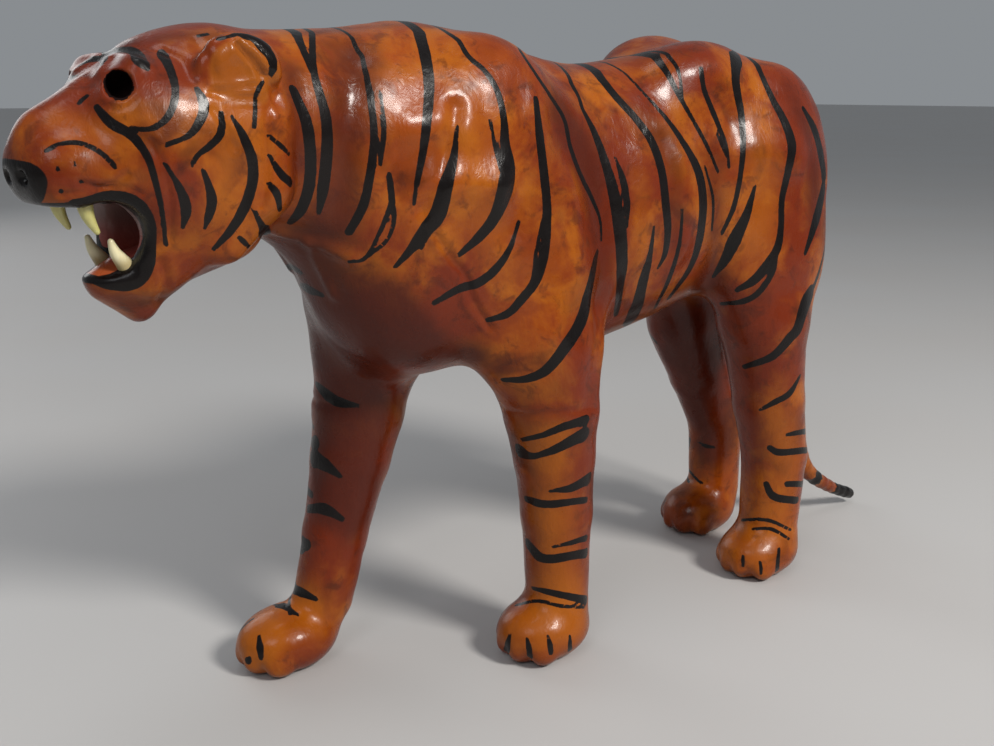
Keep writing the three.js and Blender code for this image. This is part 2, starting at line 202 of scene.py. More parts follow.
def leg_flesh(leg):
    """A leg: flattened muscles over its top, a chain of joints [x, z, radius], and a paw with four toes."""
    side = leg["side"]
    y = side * TRACK
    rows = []
    for (x, out, z), radii, lean, reach in leg["muscles"]:
        rows.append([ball([x, side * out, z], radii, lean), reach])
    for i, (x, z, radius) in enumerate(leg["joints"][1:]):
        x0, z0, radius0 = leg["joints"][i]
        rows.append([limb([x0, y, z0], radius0, [x, y, z], radius), 2 if i else 12])
    rows.append([ball([leg["paw"], y, PAW_RISE], PAW), 7])
    for n in range(TOES):
        aside = (n - (TOES - 1) / 2) * TOE_PITCH
        back = TOE_ARC - math.sqrt(TOE_ARC**2 - aside**2)
        toe_x = leg["paw"] - TOE_REACH + back
        rows.append([ball([toe_x, y + aside, TOE[2] + TOE_RISE], TOE), 1.6])
    return flesh(rows)


leg_forms = [leg_flesh(leg) for leg in LEGS.values()]


def between(a, b, t, start, end):
    """The places on the straight way from a at start to b at end."""
    return (a * (end - t) + b * (t - start)) / (end - start)


def curve_through(points, steps):
    """A smooth centripetal curve through points, as an array with steps places on each stretch."""
    p = np.array(points, float)
    if len(p) < 3:
        t = np.linspace(0, 1, steps + 1)[:, None]
        return p[0] * (1 - t) + p[-1] * t
    p = np.vstack([2 * p[0] - p[1], p, 2 * p[-1] - p[-2]])
    knots = np.concatenate([[0], np.cumsum(np.sqrt(np.linalg.norm(np.diff(p, axis=0), axis=1)) + 1e-9)])
    out = []
    for i in range(1, len(p) - 2):
        t = np.linspace(knots[i], knots[i + 1], steps + 1)[:-1, None]
        k = knots[i - 1 : i + 3]
        q = p[i - 1 : i + 3]
        q = [between(q[n], q[n + 1], t, k[n], k[n + 1]) for n in range(3)]
        q = [between(q[n], q[n + 1], t, k[n], k[n + 2]) for n in range(2)]
        out.append(between(q[0], q[1], t, k[1], k[2]))
    out.append(p[-2][None])
    return np.vstack(out)


TAIL_LINE = [
    [150, 0, 212],
    [171, 0, 197],
    [181, 0, 160],
    [186, 0, 110],
    [192, 0, 62],
    [204, 0, 31],
    [226, 0, 15],
    [248, 0, 5],
]
TAIL_ROOT_RADIUS = 7.5
TAIL_TIP_RADIUS = 3
TAIL_END_KEPT_BACK = 0.3
TAIL_STEPS = 4
tail_line = curve_through(TAIL_LINE, TAIL_STEPS)
tail_run = np.concatenate([[0], np.cumsum(np.linalg.norm(np.diff(tail_line, axis=0), axis=1))])
tail_radius = TAIL_ROOT_RADIUS + (TAIL_TIP_RADIUS - TAIL_ROOT_RADIUS) * tail_run / tail_run[-1]
# The last round end is kept inside the tail's length.
tail_line[-1] -= (tail_line[-1] - tail_line[-2]) * TAIL_END_KEPT_BACK
tail = flesh(
    [
        [limb(tail_line[i], tail_radius[i], tail_line[i + 1], tail_radius[i + 1]), 1]
        for i in range(len(tail_line) - 1)
    ]
)

# The head is drawn in a frame of its own: forward, to its left and up from the middle of the skull.
HEAD_TURN = math.radians(10)
HEAD_AT = np.array([-121.6, -5.6, 212])
head_axes = np.array(
    [
        [-math.cos(HEAD_TURN), math.sin(HEAD_TURN), 0],
        [-math.sin(HEAD_TURN), -math.cos(HEAD_TURN), 0],
        [0, 0, 1],
    ]
)
HEAD_BACK = -66
EYE_AT = np.array([42, 17, 17.6])
EYE_HOLE_RADIUS = 4.4
EYE_HOLE_DEPTH = 7
EYE_HOLE_INWARD = np.array([-0.52, -0.85, 0])
EYE_HOLE_TAPER = 0.8
NOSTRIL_AT = [67, 4.4, -8]
NOSTRIL_RADII = [2.6, 1.8, 1.8]
EAR_YAW = -14
EAR_FILLET = 3
EAR_RIM = 2
LIP_ROUND = 2.5
TONGUE_FILLET = 2
EYE_HOLE_RIM = 1.2
NOSTRIL_RIM = 1


def both_sides(row):
    """The forms of the left side and of the right one. row takes 1 for left and -1 for right."""
    return [piece for s in (1, -1) for piece in row(s)]


skull = flesh(
    [
        [ball([6, 0, 6], [36, 27, 29]), 1],
        [limb([-28, 0, 3], 30, [0, 0, 4], 28, 0.95), 12],
        [limb([24, 0, 8], 17, [56, 0, -0.5], 10, 0.85), 12],
        [limb([34, 0, 13.5], 8.6, [56, 0, 3.5], 6.3, 0.9), 8],
        [ball([59, 0, -5], [8.5, 9, 8.5]), 5],
        [ball([55.5, 0, -11.5], [8.5, 11, 7]), 5],
        [limb([2, 0, -26], 14, [30, 0, -40.5], 7.2, 1.25), 10],
        [ball([34.5, 0, -41], [13.8, 12.5, 6.4], -10), 5],
        [limb([42, 0, -42.5], 3.8, [32, 0, -50], 5, 1.1), 7],
    ]
    + both_sides(
        lambda s: [
            [ball([33, s * 13, 11], [12, 9, 11]), 8],
            [ball([34, s * 13, 19.5], [7, 6.5, 5]), 5],
            [ball([50, s * 8, -6.5], [15, 10, 11.5]), 7],
            [ball([20, s * 15, -6], [24, 15, 24]), 12],
            [ball([27, s * 11, -27], [11.5, 7.5, 15]), 8],
            [limb([-1, s * 24, 6], 7.2, [-1, s * 24, -14], 7.6), 8],
            [limb([-1, s * 24, -14], 7.6, [10, s * 17, -30], 7), 5],
        ]
    )
)
ears = flesh(both_sides(lambda s: [[ball([7.5, s * 26.5, 22.3], [13, 5.2, 10.2], 0, s * EAR_YAW), 1]]))
ear_hollows = flesh(both_sides(lambda s: [[ball([8.6, s * 35, 21.2], [11, 5.4, 8.4], 0, s * EAR_YAW), 1]]))
mouth = flesh(
    [
        [ball([57, 0, -27.1], [17, 34, 10.6]), 1],
        [ball([46.5, 0, -26.5], [11, 34, 11.9]), 1],
        [ball([38, 0, -26], [21, 9, 9.2]), 4],
    ]
)
tongue = flesh([[ball([30, 0, -36.5], [18, 7.5, 5.5], 12), 1]])


def eye_hole(s):
    """A round hole through the skin, a little narrower at its bottom."""
    inward = EYE_HOLE_INWARD * [1, s, 1]
    inward /= np.linalg.norm(inward)
    skin = EYE_AT * [1, s, 1]
    outer = skin - inward * EYE_HOLE_RADIUS
    bottom = skin + inward * EYE_HOLE_DEPTH
    return [[limb(outer, EYE_HOLE_RADIUS, bottom, EYE_HOLE_RADIUS * EYE_HOLE_TAPER), 1]]


def nostril(s):
    x, y, z = NOSTRIL_AT
    return [[ball([x, s * y, z], NOSTRIL_RADII), 1]]


eye_holes = flesh(both_sides(eye_hole))
nostrils = flesh(both_sides(nostril))


def in_head(p):
    """Points in the head's own frame."""
    return (p - HEAD_AT) @ head_axes


def head(p):
    """The skull with its ears, mouth, tongue, eye holes and nostrils."""
    d = np.full(len(p), OUTSIDE)
    q = in_head(p)
    near = q[:, 0] > HEAD_BACK
    q = q[near]
    if len(q):
        h = blend(skull(q), ears(q), EAR_FILLET)
        h = carve(h, ear_hollows(q), EAR_RIM)
        h = carve(h, mouth(q), LIP_ROUND)
        h = blend(h, tongue(q), TONGUE_FILLET)
        h = carve(h, eye_holes(q), EYE_HOLE_RIM)
        d[near] = carve(h, nostrils(q), NOSTRIL_RIM)
    return d


LEG_FILLET = 14
NECK_FILLET = 3
TAIL_FILLET = 4
SOLE_ROUND = 1.5


def figure(p):
    """The whole figure, cut flat where its soles stand on the floor."""
    d = trunk(p)
    for leg in leg_forms:
        d = blend(d, leg(p), LEG_FILLET)
    d = blend(d, head(p), NECK_FILLET)
    d = blend(d, tail(p), TAIL_FILLET)
    return carve(d, p[:, 2], SOLE_ROUND)


def graded(start, stretches):
    """Grid lines from start, each stretch given as [end, cell]."""
    lines = [float(start)]
    for end, cell in stretches:
        count = max(1, round((end - lines[-1]) / cell))
        lines += list(np.linspace(lines[-1], end, count + 1)[1:])
    return np.array(lines)


COARSE = 4
NEAR_SKIN = 9.0
UNPINCH_ROUNDS = 8
JUST_OFF_SKIN = 1e-3


def skin_values(lines):
    """The figure's distance at each grid point, worked out only where a coarser grid has the skin near."""
    counts = [len(axis) for axis in lines]
    picks = [np.unique(np.append(np.arange(0, n, COARSE), n - 1)) for n in counts]
    coarse_axes = [axis[pick] for axis, pick in zip(lines, picks)]
    grid = np.stack(np.meshgrid(*coarse_axes, indexing="ij"), axis=-1).reshape(-1, 3)
    coarse = figure(grid).reshape([len(axis) for axis in coarse_axes])
    nearest = []
    for n, pick in zip(counts, picks):
        nearest.append(np.minimum((np.arange(n) + COARSE // 2) // COARSE, len(pick) - 1))
    values = coarse[np.ix_(*nearest)]
    near = np.argwhere(np.abs(values) < NEAR_SKIN)
    points = np.stack([axis[near[:, n]] for n, axis in enumerate(lines)], axis=1)
    values[tuple(near.T)] = figure(points)
    return values


def unpinched(values):
    """Where a cell's face has only two diagonal corners inside, the one nearest the skin changes side."""
    face = ((0, 0), (1, 0), (1, 1), (0, 1))
    for _ in range(UNPINCH_ROUNDS):
        moved = 0
        for axis in range(3):
            u, v = [n for n in range(3) if n != axis]
            corners = []
            for du, dv in face:
                window = [slice(None)] * 3
                window[u] = slice(du, values.shape[u] - 1 + du)
                window[v] = slice(dv, values.shape[v] - 1 + dv)
                corners.append(values[tuple(window)] < 0)
            a, b, c, d = corners
            for place in np.argwhere((a == c) & (b == d) & (a != b)):
                spots = []
                for du, dv in face:
                    spot = place.copy()
                    spot[u] += du
                    spot[v] += dv
                    spots.append(tuple(spot))
                nearest = min(spots, key=lambda spot: abs(values[spot]))
                values[nearest] = JUST_OFF_SKIN if values[nearest] < 0 else -JUST_OFF_SKIN
                moved += 1
        if not moved:
            break
    return values


def net(lines, values):
    """The closed surface where values are zero: one vertex in each cell that it crosses, and its quads."""
    inside = values < 0
    corners = [(a, b, c) for a in (0, 1) for b in (0, 1) for c in (0, 1)]
    cells = tuple(n - 1 for n in values.shape)

    def at(a, b, c):
        return inside[a : a + cells[0], b : b + cells[1], c : c + cells[2]]

    count = sum(at(*corner).astype(np.int8) for corner in corners)
    active = (count > 0) & (count < 8)
    cell = np.argwhere(active)
    vertex_of = np.full(cells, -1, np.int32)
    vertex_of[active] = np.arange(len(cell))
    total = np.zeros((len(cell), 3))
    crossings = np.zeros(len(cell))
    for axis in range(3):
        step = np.zeros(3, int)
        step[axis] = 1
        for corner in corners:
            if corner[axis]:
                continue
            start = cell + corner
            end = start + step
            a = values[tuple(start.T)]
            b = values[tuple(end.T)]
            crossed = (a < 0) != (b < 0)
            t = np.where(crossed, a / np.where(crossed, a - b, 1), 0)
            place = np.stack([lines[n][start[:, n]] for n in range(3)], axis=1)
            place[:, axis] += t * (lines[axis][end[:, axis]] - lines[axis][start[:, axis]])
            total[crossed] += place[crossed]
            crossings += crossed
    vertices = total / crossings[:, None]
    quads = []
    for axis in range(3):
        lower = [slice(1, n - 1) for n in values.shape]
        lower[axis] = slice(0, values.shape[axis] - 1)
        upper = list(lower)
        upper[axis] = slice(1, values.shape[axis])
        here = inside[tuple(lower)]
        crossed = here != inside[tuple(upper)]
        place = np.argwhere(crossed) + [s.start for s in lower]
        out = here[crossed]
        u, v = [n for n in range(3) if n != axis]
        around = []
        for du, dv in ((1, 1), (0, 1), (0, 0), (1, 0)):
            shift = np.zeros(3, int)
            shift[u] = du
            shift[v] = dv
            around.append(vertex_of[tuple((place - shift).T)])
        quad = np.stack(around, axis=1)
        turn = out if axis != 1 else ~out
        quad[~turn] = quad[~turn][:, ::-1]
        quads.append(quad)
    return vertices, np.vstack(quads)


def slope_of(form, p, e=0.05):
    """The form's distance and its slope at each point."""
    d = form(p)
    slope = np.stack([(form(p + step) - d) / e for step in np.eye(3) * e], axis=1)
    return d, slope


def onto_skin(p, rounds=2, limit=0.6):
    """Moves points onto the figure's surface, by no more than limit in each round."""
    for _ in range(rounds):
        d, slope = slope_of(figure, p)
        g2 = np.maximum((slope**2).sum(axis=1), 0.04)
        p = p - slope * np.clip(d / g2, -limit, limit)[:, None]
    return p


# The grid is finest over the head, and finer over the upper body than over the legs.
grid_lines = [
    graded(-194, [[-88, 1.0], [172, 1.25], [254, 1.7]]),
    graded(-54.5, [[54.5, 1.4]]),
    graded(-4.2, [[112, 1.35], [165, 1.5], [256, 1.2]]),
]
skin_points, skin_quads = net(grid_lines, unpinched(skin_values(grid_lines)))
skin_points = onto_skin(skin_points)
skin_points[:, 2] = np.maximum(skin_points[:, 2], 0)
_, skin_slope = slope_of(figure, skin_points)
skin_normals = skin_slope / np.maximum(np.linalg.norm(skin_slope, axis=1, keepdims=True), 1e-6)


# The view from the camera onto the skin, and the tools that lay a line on it. A line is a few places in the
# picture with a width in pixels at each. It is smoothed, and then thrown onto the skin from the camera.
camera_mm = CAMERA_AT / MM + [MIDDLE_OF_LENGTH, 0, 0]
LINE_STEPS = 6
MOST_WIDENED = 2.2


def tree_of(points):
    return BVHTree.FromPolygons(points.tolist(), skin_quads.tolist())


def ray(pixel):
    u, v = pixel
    way = (
        camera_forward * FOCAL_PIXELS
        + camera_right * (u - PICTURE_WIDTH / 2)
        + camera_down * (v - PICTURE_HEIGHT / 2)
    )
    return way / np.linalg.norm(way)


def throw(tree, pixel):
    """Where a picture place lands on the skin, with the skin's normal there, or None."""
    hit, normal, _, _ = tree.ray_cast(Vector(camera_mm), Vector(ray(pixel)))
    if hit is None:
        return None
    return np.array(hit), np.array(normal)


def laid(tree, places, widths):
    """A line on the skin: points, normals and half widths in millimetres."""
    pixels = curve_through(places, LINE_STEPS)
    share = np.linspace(0, 1, len(pixels))
    width = np.interp(share, np.linspace(0, 1, len(widths)), widths)
    way = np.gradient(pixels, axis=0)
    across = np.stack([-way[:, 1], way[:, 0]], axis=1)
    across /= np.maximum(np.linalg.norm(across, axis=1, keepdims=True), 1e-6)
    points, normals, halves = [], [], []
    for pixel, side, w in zip(pixels, across, width):
        middle = throw(tree, pixel)
        if middle is None:
            continue
        depth = (middle[0] - camera_mm) @ camera_forward
        half = w / 2 * depth / FOCAL_PIXELS
        edges = [throw(tree, pixel + s * side * w / 2) for s in (1, -1)]
        if all(edge is not None for edge in edges):
            measured = np.linalg.norm(edges[0][0] - edges[1][0]) / 2
            half = min(measured, half * MOST_WIDENED)
        points.append(middle[0])
        normals.append(middle[1])
        halves.append(half)
    return np.array(points), np.array(normals), np.array(halves)


NECK_FROM = -78
NECK_RUN = 20
LEGS_FROM = 175
LEGS_RUN = 50
MIDDLE_OF_TRUNK = 70


def other_side(points):
    """The matching places on the other side: the head's in its own frame, and each leg's on its pair."""
    flipped = points * [1, -1, 1]
    local = in_head(points)
    head_flip = (local * [1, -1, 1]) @ head_axes.T + HEAD_AT
    in_front = np.clip((NECK_FROM - points[:, 0]) / NECK_RUN, 0, 1)[:, None]
    flipped = flipped * (1 - in_front) + head_flip * in_front
    for fore, left, right in ((True, "left_fore", "right_fore"), (False, "left_hind", "right_hind")):
        a = np.array(LEGS[left]["joints"])[::-1]
        b = np.array(LEGS[right]["joints"])[::-1]
        step = np.interp(points[:, 2], b[:, 1], b[:, 0]) - np.interp(points[:, 2], a[:, 1], a[:, 0])
        low = np.clip((LEGS_FROM - points[:, 2]) / LEGS_RUN, 0, 1)
        mine = (points[:, 0] < MIDDLE_OF_TRUNK) == fore
        flipped[:, 0] += np.where(mine, step * low, 0)
    return flipped


def snapped(tree, points):
    """The skin's nearest places to points, with its normals there."""
    landed = [tree.find_nearest(Vector(p)) for p in points]
    return np.array([hit[0] for hit in landed]), np.array([hit[1] for hit in landed])


def near_line(points, normals, line, facing=0.15, margin=4.0):
    """The skin points near a line: their indices, how far each is inside its edge, and their distances."""
    middle, line_normals, halves = line
    room = halves.max() + margin
    low = middle.min(axis=0) - room
    high = middle.max(axis=0) + room
    index = np.nonzero(np.all((points > low) & (points < high), axis=1))[0]
    p = points[index]
    best = np.full(len(p), -1e3)
    distance = np.full(len(p), 1e3)
    for n in range(len(middle) - 1):
        a = middle[n]
        ab = middle[n + 1] - a
        t = np.clip((p - a) @ ab / max(ab @ ab, 1e-9), 0, 1)
        away = np.linalg.norm(p - a - t[:, None] * ab, axis=1)
        half = halves[n] + (halves[n + 1] - halves[n]) * t
        seen = normals[index] @ line_normals[n] > facing
        best = np.where(seen, np.maximum(best, half - away), best)
        distance = np.where(seen, np.minimum(distance, away), distance)
    return index, best, distance


# The skin's relief: folds that the wet leather took as it was pressed into place, swells of the muscles,
# whisker pits, and the unevenness of hand work. A fold is [depth in millimetres, width in pixels, places in
# the picture]. It is pressed in where the depth is positive, and raised where it is negative.
FOLDS = {
    "foreleg_seam": [0.5, 5, (491, 395), (506, 410), (528, 415), (561, 412), (596, 408)],
    "chest_crease": [0.8, 9, (436, 234), (453, 261), (465, 276), (472, 299), (490, 328)],
    "throat_fold": [-1.2, 14, (280, 232), (320, 245), (352, 260)],
    "neck_ridge": [-0.8, 10, (307, 242), (320, 268), (333, 295)],
    "muzzle_crease": [0.7, 7, (81, 184), (109, 186), (128, 174)],
    "under_ear_crease": [0.9, 7, (210, 93), (232, 97), (255, 97)],
    "ear_rim": [-1.3, 7, (238, 39), (255, 52), (268, 70)],
    "ear_rim_groove": [1.1, 5, (236, 45), (250, 61), (261, 78)],
    "ear_root": [1.2, 8, (266, 76), (273, 90), (277, 104)],
    "ear_foot": [0.9, 6, (213, 90), (236, 89), (262, 84)],
    "shoulder_groove": [1.2, 30, (556, 120), (582, 170), (600, 220), (606, 262), (601, 300)],
    "thigh_groove": [1.2, 26, (716, 165), (722, 200), (722, 233), (712, 277)],
    "arm_groove": [0.9, 16, (600, 300), (598, 350), (590, 400)],
    "cheek_fold": [0.6, 9, (150, 140), (162, 165), (170, 200), (170, 240)],
    "under_eye": [0.5, 6, (100, 103), (112, 108), (128, 106), (138, 98)],
    "lip_fold": [0.5, 6, (60, 196), (88, 190), (120, 186), (143, 193)],
    "neck_hollow": [1.6, 44, (352, 60), (350, 110), (345, 160), (340, 200)],
    "blade_upper": [-1.5, 46, (412, 130), (438, 126), (464, 130)],
    "blade_lower": [-2.2, 54, (440, 184), (468, 182), (496, 186)],
    "blade_crease": [1.2, 20, (456, 108), (450, 140), (440, 175), (424, 210)],
    "behind_blade": [1.0, 26, (520, 90), (524, 140), (524, 190), (514, 230)],
    "arm_swell": [-1.8, 44, (568, 190), (572, 240), (566, 290), (552, 330)],
    "rib_swell_1": [-0.9, 22, (640, 150), (648, 200), (642, 260)],
    "rib_groove_1": [0.8, 14, (664, 140), (676, 190), (674, 250)],
    "rib_swell_2": [-0.8, 22, (684, 160), (690, 205), (682, 250)],
    "hip_swell": [-1.8, 56, (738, 152), (766, 148), (794, 154)],
    "hip_hollow": [1.2, 26, (718, 90), (730, 120), (736, 160)],
    "brow_ridge": [-1.0, 9, (100, 72), (108, 60), (122, 56), (138, 62)],
    "crown_crease": [0.6, 10, (160, 50), (180, 60), (188, 78)],
    "crown_crease_2": [0.5, 8, (196, 40), (208, 58), (214, 74)],
    "jowl_crease": [0.6, 8, (214, 110), (226, 128), (236, 150)],
    "ruff_crease": [0.8, 10, (268, 110), (266, 140), (268, 170), (262, 205)],
    "jaw_crease": [0.6, 9, (160, 262), (166, 280), (160, 300)],
}
WHISKER_PITS = [(58, 169), (75, 164), (61, 191), (81, 182)]
PIT_RADIUS = 0.8
PIT_DEPTH = 0.7
LUMPS = [[26, 0.45], [11, 0.2], [5, 0.09]]
FOLD_END = 0.6
FOLD_ROUND = 0.75
FOLD_SHOULDER = 0.35
FOLD_SHOULDER_AT = 1.6
FOLD_SHOULDER_ROUND = 0.9
LATTICE = 32
RELIEF_FROM_FLOOR = 3

lattice = np.random.RandomState(11).rand(LATTICE, LATTICE, LATTICE) * 2 - 1


def wander(p, size):
    """Smooth noise from -1 to 1, with hills about size apart."""
    q = p / size
    base = np.floor(q).astype(int)
    f = q - base
    f = f * f * (3 - 2 * f)
    total = np.zeros(len(p))
    for corner in np.ndindex(2, 2, 2):
        weight = np.prod(np.where(corner, f, 1 - f), axis=1)
        place = (base + corner) % LATTICE
        total += weight * lattice[tuple(place.T)]
    return total


def press_folds(points, normals):
    """How far each skin point stands out from the smooth form."""
    tree = tree_of(points)
    relief = np.zeros(len(points))
    for size, height in LUMPS:
        relief += height * wander(points, size)
    for depth, width, *places in FOLDS.values():
        line = laid(tree, places, [width * FOLD_END, width, width * FOLD_END])
        twin = (*snapped(tree, other_side(line[0])), line[2])
        for each in (line, twin):
            index, _, distance = near_line(points, normals, each, margin=width)
            half = each[2].max()
            shape = np.exp(-((distance / (half * FOLD_ROUND)) ** 2))
            beside = (distance - half * FOLD_SHOULDER_AT) / (half * FOLD_SHOULDER_ROUND)
            relief[index] -= depth * (shape - FOLD_SHOULDER * np.exp(-(beside**2)))
    return relief - PIT_DEPTH * np.exp(-((from_pits(tree, points) / PIT_RADIUS) ** 2))


def from_pits(tree, points):
    """How far each skin point is from the nearest whisker pit."""
    nearest = np.full(len(points), OUTSIDE)
    for place in WHISKER_PITS:
        middle = throw(tree, place)[0]
        for each in (middle, other_side(middle[None])[0]):
            nearest = np.minimum(nearest, np.linalg.norm(points - each, axis=1))
    return nearest


relief = press_folds(skin_points, skin_normals)
off_floor = np.clip(skin_points[:, 2] / RELIEF_FROM_FLOOR, 0, 1)
skin_points = skin_points + skin_normals * (relief * off_floor)[:, None]
skin_points[:, 2] = np.maximum(skin_points[:, 2], 0)


# The stripes: black lacquer, put on by hand with a pointed brush after the leather was dyed. A stroke is
# its widths in pixels from one end to the other, and then its places in the picture. The side that isn't
# seen is taken to be painted like the one that is, so most strokes are repeated there.
HEAD_STROKES = {
    "brow": [[2, 7, 7, 7, 8, 5], (101, 65), (107, 55), (119, 51), (131, 52), (143, 62), (147, 69)],
    "round_cheek": [
        [6, 8, 8, 8, 8, 6, 2],
        (161, 52), (170, 69), (175, 87), (174, 103), (166, 119), (150, 129), (131, 128),
    ],
    "long_cheek": [
        [7, 11, 10, 8, 7, 5, 1],
        (96, 107), (111, 123), (131, 135), (147, 156), (156, 184), (162, 212), (166, 245),
    ],
    "muzzle": [[2, 5, 5, 5, 4, 1], (46, 151), (60, 144), (79, 143), (95, 149), (109, 160), (115, 167)],
    "temple": [[6, 11, 10, 7, 1], (197, 89), (204, 105), (199, 123), (188, 136), (166, 145)],
    "under_temple": [[6, 8, 8, 5, 1], (221, 113), (221, 133), (210, 146), (198, 155), (192, 165)],
    "ruff": [
        [3, 9, 11, 11, 11, 9, 5],
        (232, 117), (243, 136), (252, 160), (252, 184), (243, 210), (230, 231), (214, 249),
    ],
    "jowl_front": [[1, 6, 11, 11, 4], (165, 164), (175, 180), (184, 199), (186, 213), (183, 227)],
    "jowl_back": [[5, 8, 11, 9, 3], (203, 170), (209, 187), (212, 202), (209, 216), (205, 228)],
    "ruff_dash_1": [[4, 5, 3], (269, 136), (280, 145), (289, 154)],
    "ruff_dash_2": [[4, 8, 7], (269, 155), (281, 174), (290, 182)],
    "ruff_dash_3": [[6, 8, 4], (269, 184), (277, 194), (280, 210)],
    "ruff_dash_4": [[4, 8, 5], (255, 212), (263, 229), (265, 235)],
    "ruff_dash_5": [[5, 6, 4], (239, 237), (244, 242), (249, 247)],
    "ear": [[1, 4, 6, 9, 9, 6], (218, 39), (237, 35), (253, 37), (266, 48), (273, 61), (271, 75)],
    "ear_root": [[3, 3, 3, 1], (263, 81), (256, 95), (255, 113), (254, 127)],
    "crown": [[2, 3, 2], (198, 36), (203, 35), (208, 34)],
    "bridge": [[2, 4, 4, 2], (87, 96), (83, 99), (79, 103)],
    "lip": [
        [4, 7, 8, 9, 11, 12, 11, 10, 11, 14, 17, 13, 5],
        (46, 208), (69, 205), (87, 201), (105, 196), (121, 198), (137, 208), (148, 227), (151, 247),
        (149, 266), (140, 279), (126, 284), (105, 283), (84, 275),
    ],
}
BODY_STROKES = {
    "neck_1": [[8, 12, 12, 11, 5], (293, 90), (307, 126), (310, 179), (301, 210), (290, 223)],
    "nape_1": [[6, 6, 5], (296, 33), (304, 52), (312, 72)],
    "nape_2": [[6, 7, 11, 12, 12, 5], (312, 33), (314, 72), (326, 118), (327, 152), (323, 189), (319, 213)],
    "neck_2": [
        [5, 7, 8, 9, 10, 9],
        (362, 56), (370, 95), (374, 137), (370, 175), (363, 206), (349, 232),
    ],
    "neck_2_branch": [[2, 6, 5], (380, 92), (384, 130), (380, 164)],
    "neck_3": [[6, 7, 7], (389, 175), (391, 190), (392, 202)],
    "neck_3_front": [[6, 4, 2], (392, 202), (379, 234), (364, 259), (349, 262)],
    "neck_3_back": [[6, 5, 4, 2], (392, 202), (394, 219), (387, 240), (368, 256)],
    "withers": [
        [9, 11, 11, 10, 8, 6, 2],
        (419, 32), (425, 55), (429, 84), (427, 118), (423, 152), (417, 183), (414, 204),
    ],
    "shoulder_1": [
        [3, 8, 15, 17, 14, 8, 4],
        (457, 126), (454, 156), (446, 185), (438, 215), (423, 234), (408, 253), (395, 267),
    ],
    "shoulder_1_tip": [[8, 5, 2], (438, 215), (430, 232), (421, 248)],
    "shoulder_2": [
        [4, 5, 5, 6, 7, 10, 14, 15, 12, 10, 5],
        (459, 41), (469, 57), (484, 70), (497, 90), (504, 120), (505, 143), (509, 168), (507, 189),
        (495, 217), (478, 238), (459, 255),
    ],
    "shoulder_2_branch": [[1, 5, 5], (490, 120), (495, 145), (501, 168)],
    "shoulder_3": [
        [2, 6, 9, 9, 8, 5],
        (519, 221), (509, 250), (493, 272), (476, 284), (461, 288), (434, 303),
    ],
    "shoulder_4": [
        [5, 8, 9, 9, 10, 10, 9, 8, 5],
        (536, 99), (540, 135), (544, 173), (547, 210), (544, 253), (536, 280), (522, 299), (507, 314),
        (488, 320),
    ],
    "shoulder_4_inner": [[1, 4, 3], (543, 219), (536, 253), (533, 278)],
    "shoulder_line": [
        [3, 3, 3, 4, 4, 4, 3, 2],
        (515, 43), (533, 70), (549, 94), (564, 119), (570, 146), (579, 172), (592, 199), (600, 220),
        (601, 241),
    ],
    "elbow": [
        [2, 5, 8, 11, 12, 10, 8, 4],
        (598, 250), (595, 262), (589, 292), (581, 321), (566, 346), (545, 371), (526, 379), (503, 380),
    ],
    "rib_1": [
        [3, 6, 9, 12, 13, 11, 7, 3],
        (582, 108), (594, 132), (606, 165), (615, 199), (620, 230), (622, 262), (619, 294), (616, 315),
    ],
    "rib_1_branch": [[2, 7, 7, 2], (615, 157), (623, 180), (627, 205), (627, 226)],
    "rib_2": [
        [2, 5, 9, 9, 7, 4],
        (654, 226), (650, 254), (643, 281), (636, 308), (623, 332), (615, 340),
    ],
    "rib_3": [
        [6, 7, 7, 8, 8, 8, 7, 5, 2],
        (595, 71), (617, 98), (636, 119), (653, 144), (662, 172), (666, 205), (668, 230), (665, 254),
        (658, 268),
    ],
    "rib_4": [
        [2, 4, 6, 8, 8, 7, 5, 3],
        (639, 88), (665, 117), (684, 144), (699, 174), (703, 205), (699, 241), (690, 268), (669, 298),
    ],
    "rib_5": [[2, 4, 4, 2], (682, 209), (680, 241), (669, 279), (655, 308)],
    "loin_1": [[8, 6, 5, 4, 4, 2], (655, 56), (667, 73), (678, 94), (690, 115), (707, 146), (718, 172)],
    "loin_1_twin": [[4, 4, 2], (667, 54), (678, 70), (682, 96)],
    "loin_2": [[2, 3, 2], (705, 167), (713, 199), (712, 230)],
    "loin_3": [[5, 5, 5, 4, 3], (701, 69), (704, 89), (716, 119), (726, 146), (729, 167)],
    "loin_3_twin": [[2, 4, 2], (717, 134), (722, 145), (726, 155)],
    "hip_1": [
        [9, 8, 7, 6, 5, 5, 4],
        (736, 53), (736, 83), (741, 113), (743, 146), (740, 178), (733, 209), (722, 233),
    ],
    "thigh_1": [
        [4, 6, 8, 9, 7, 6, 6, 8, 10, 9, 5],
        (757, 65), (772, 98), (786, 125), (792, 146), (788, 172), (782, 199), (781, 226), (777, 249),
        (765, 268), (753, 281), (737, 290),
    ],
    "thigh_1_twin": [[2, 6, 6, 6, 3], (778, 252), (772, 273), (757, 294), (744, 301), (721, 304)],
    "thigh_2": [[3, 9, 14, 10, 3], (755, 186), (746, 216), (734, 241), (725, 260), (713, 277)],
    "rump_1": [
        [3, 6, 7, 7, 7, 6, 3],
        (803, 108), (814, 129), (821, 155), (824, 180), (820, 205), (812, 233), (805, 254),
    ],
    "rump_2": [
        [3, 6, 8, 9, 9, 9, 8, 5],
        (827, 222), (824, 252), (816, 281), (805, 306), (797, 330), (790, 338), (773, 356), (744, 367),
    ],
    "chest": [[2, 6, 4], (293, 284), (308, 289), (322, 295)],
}
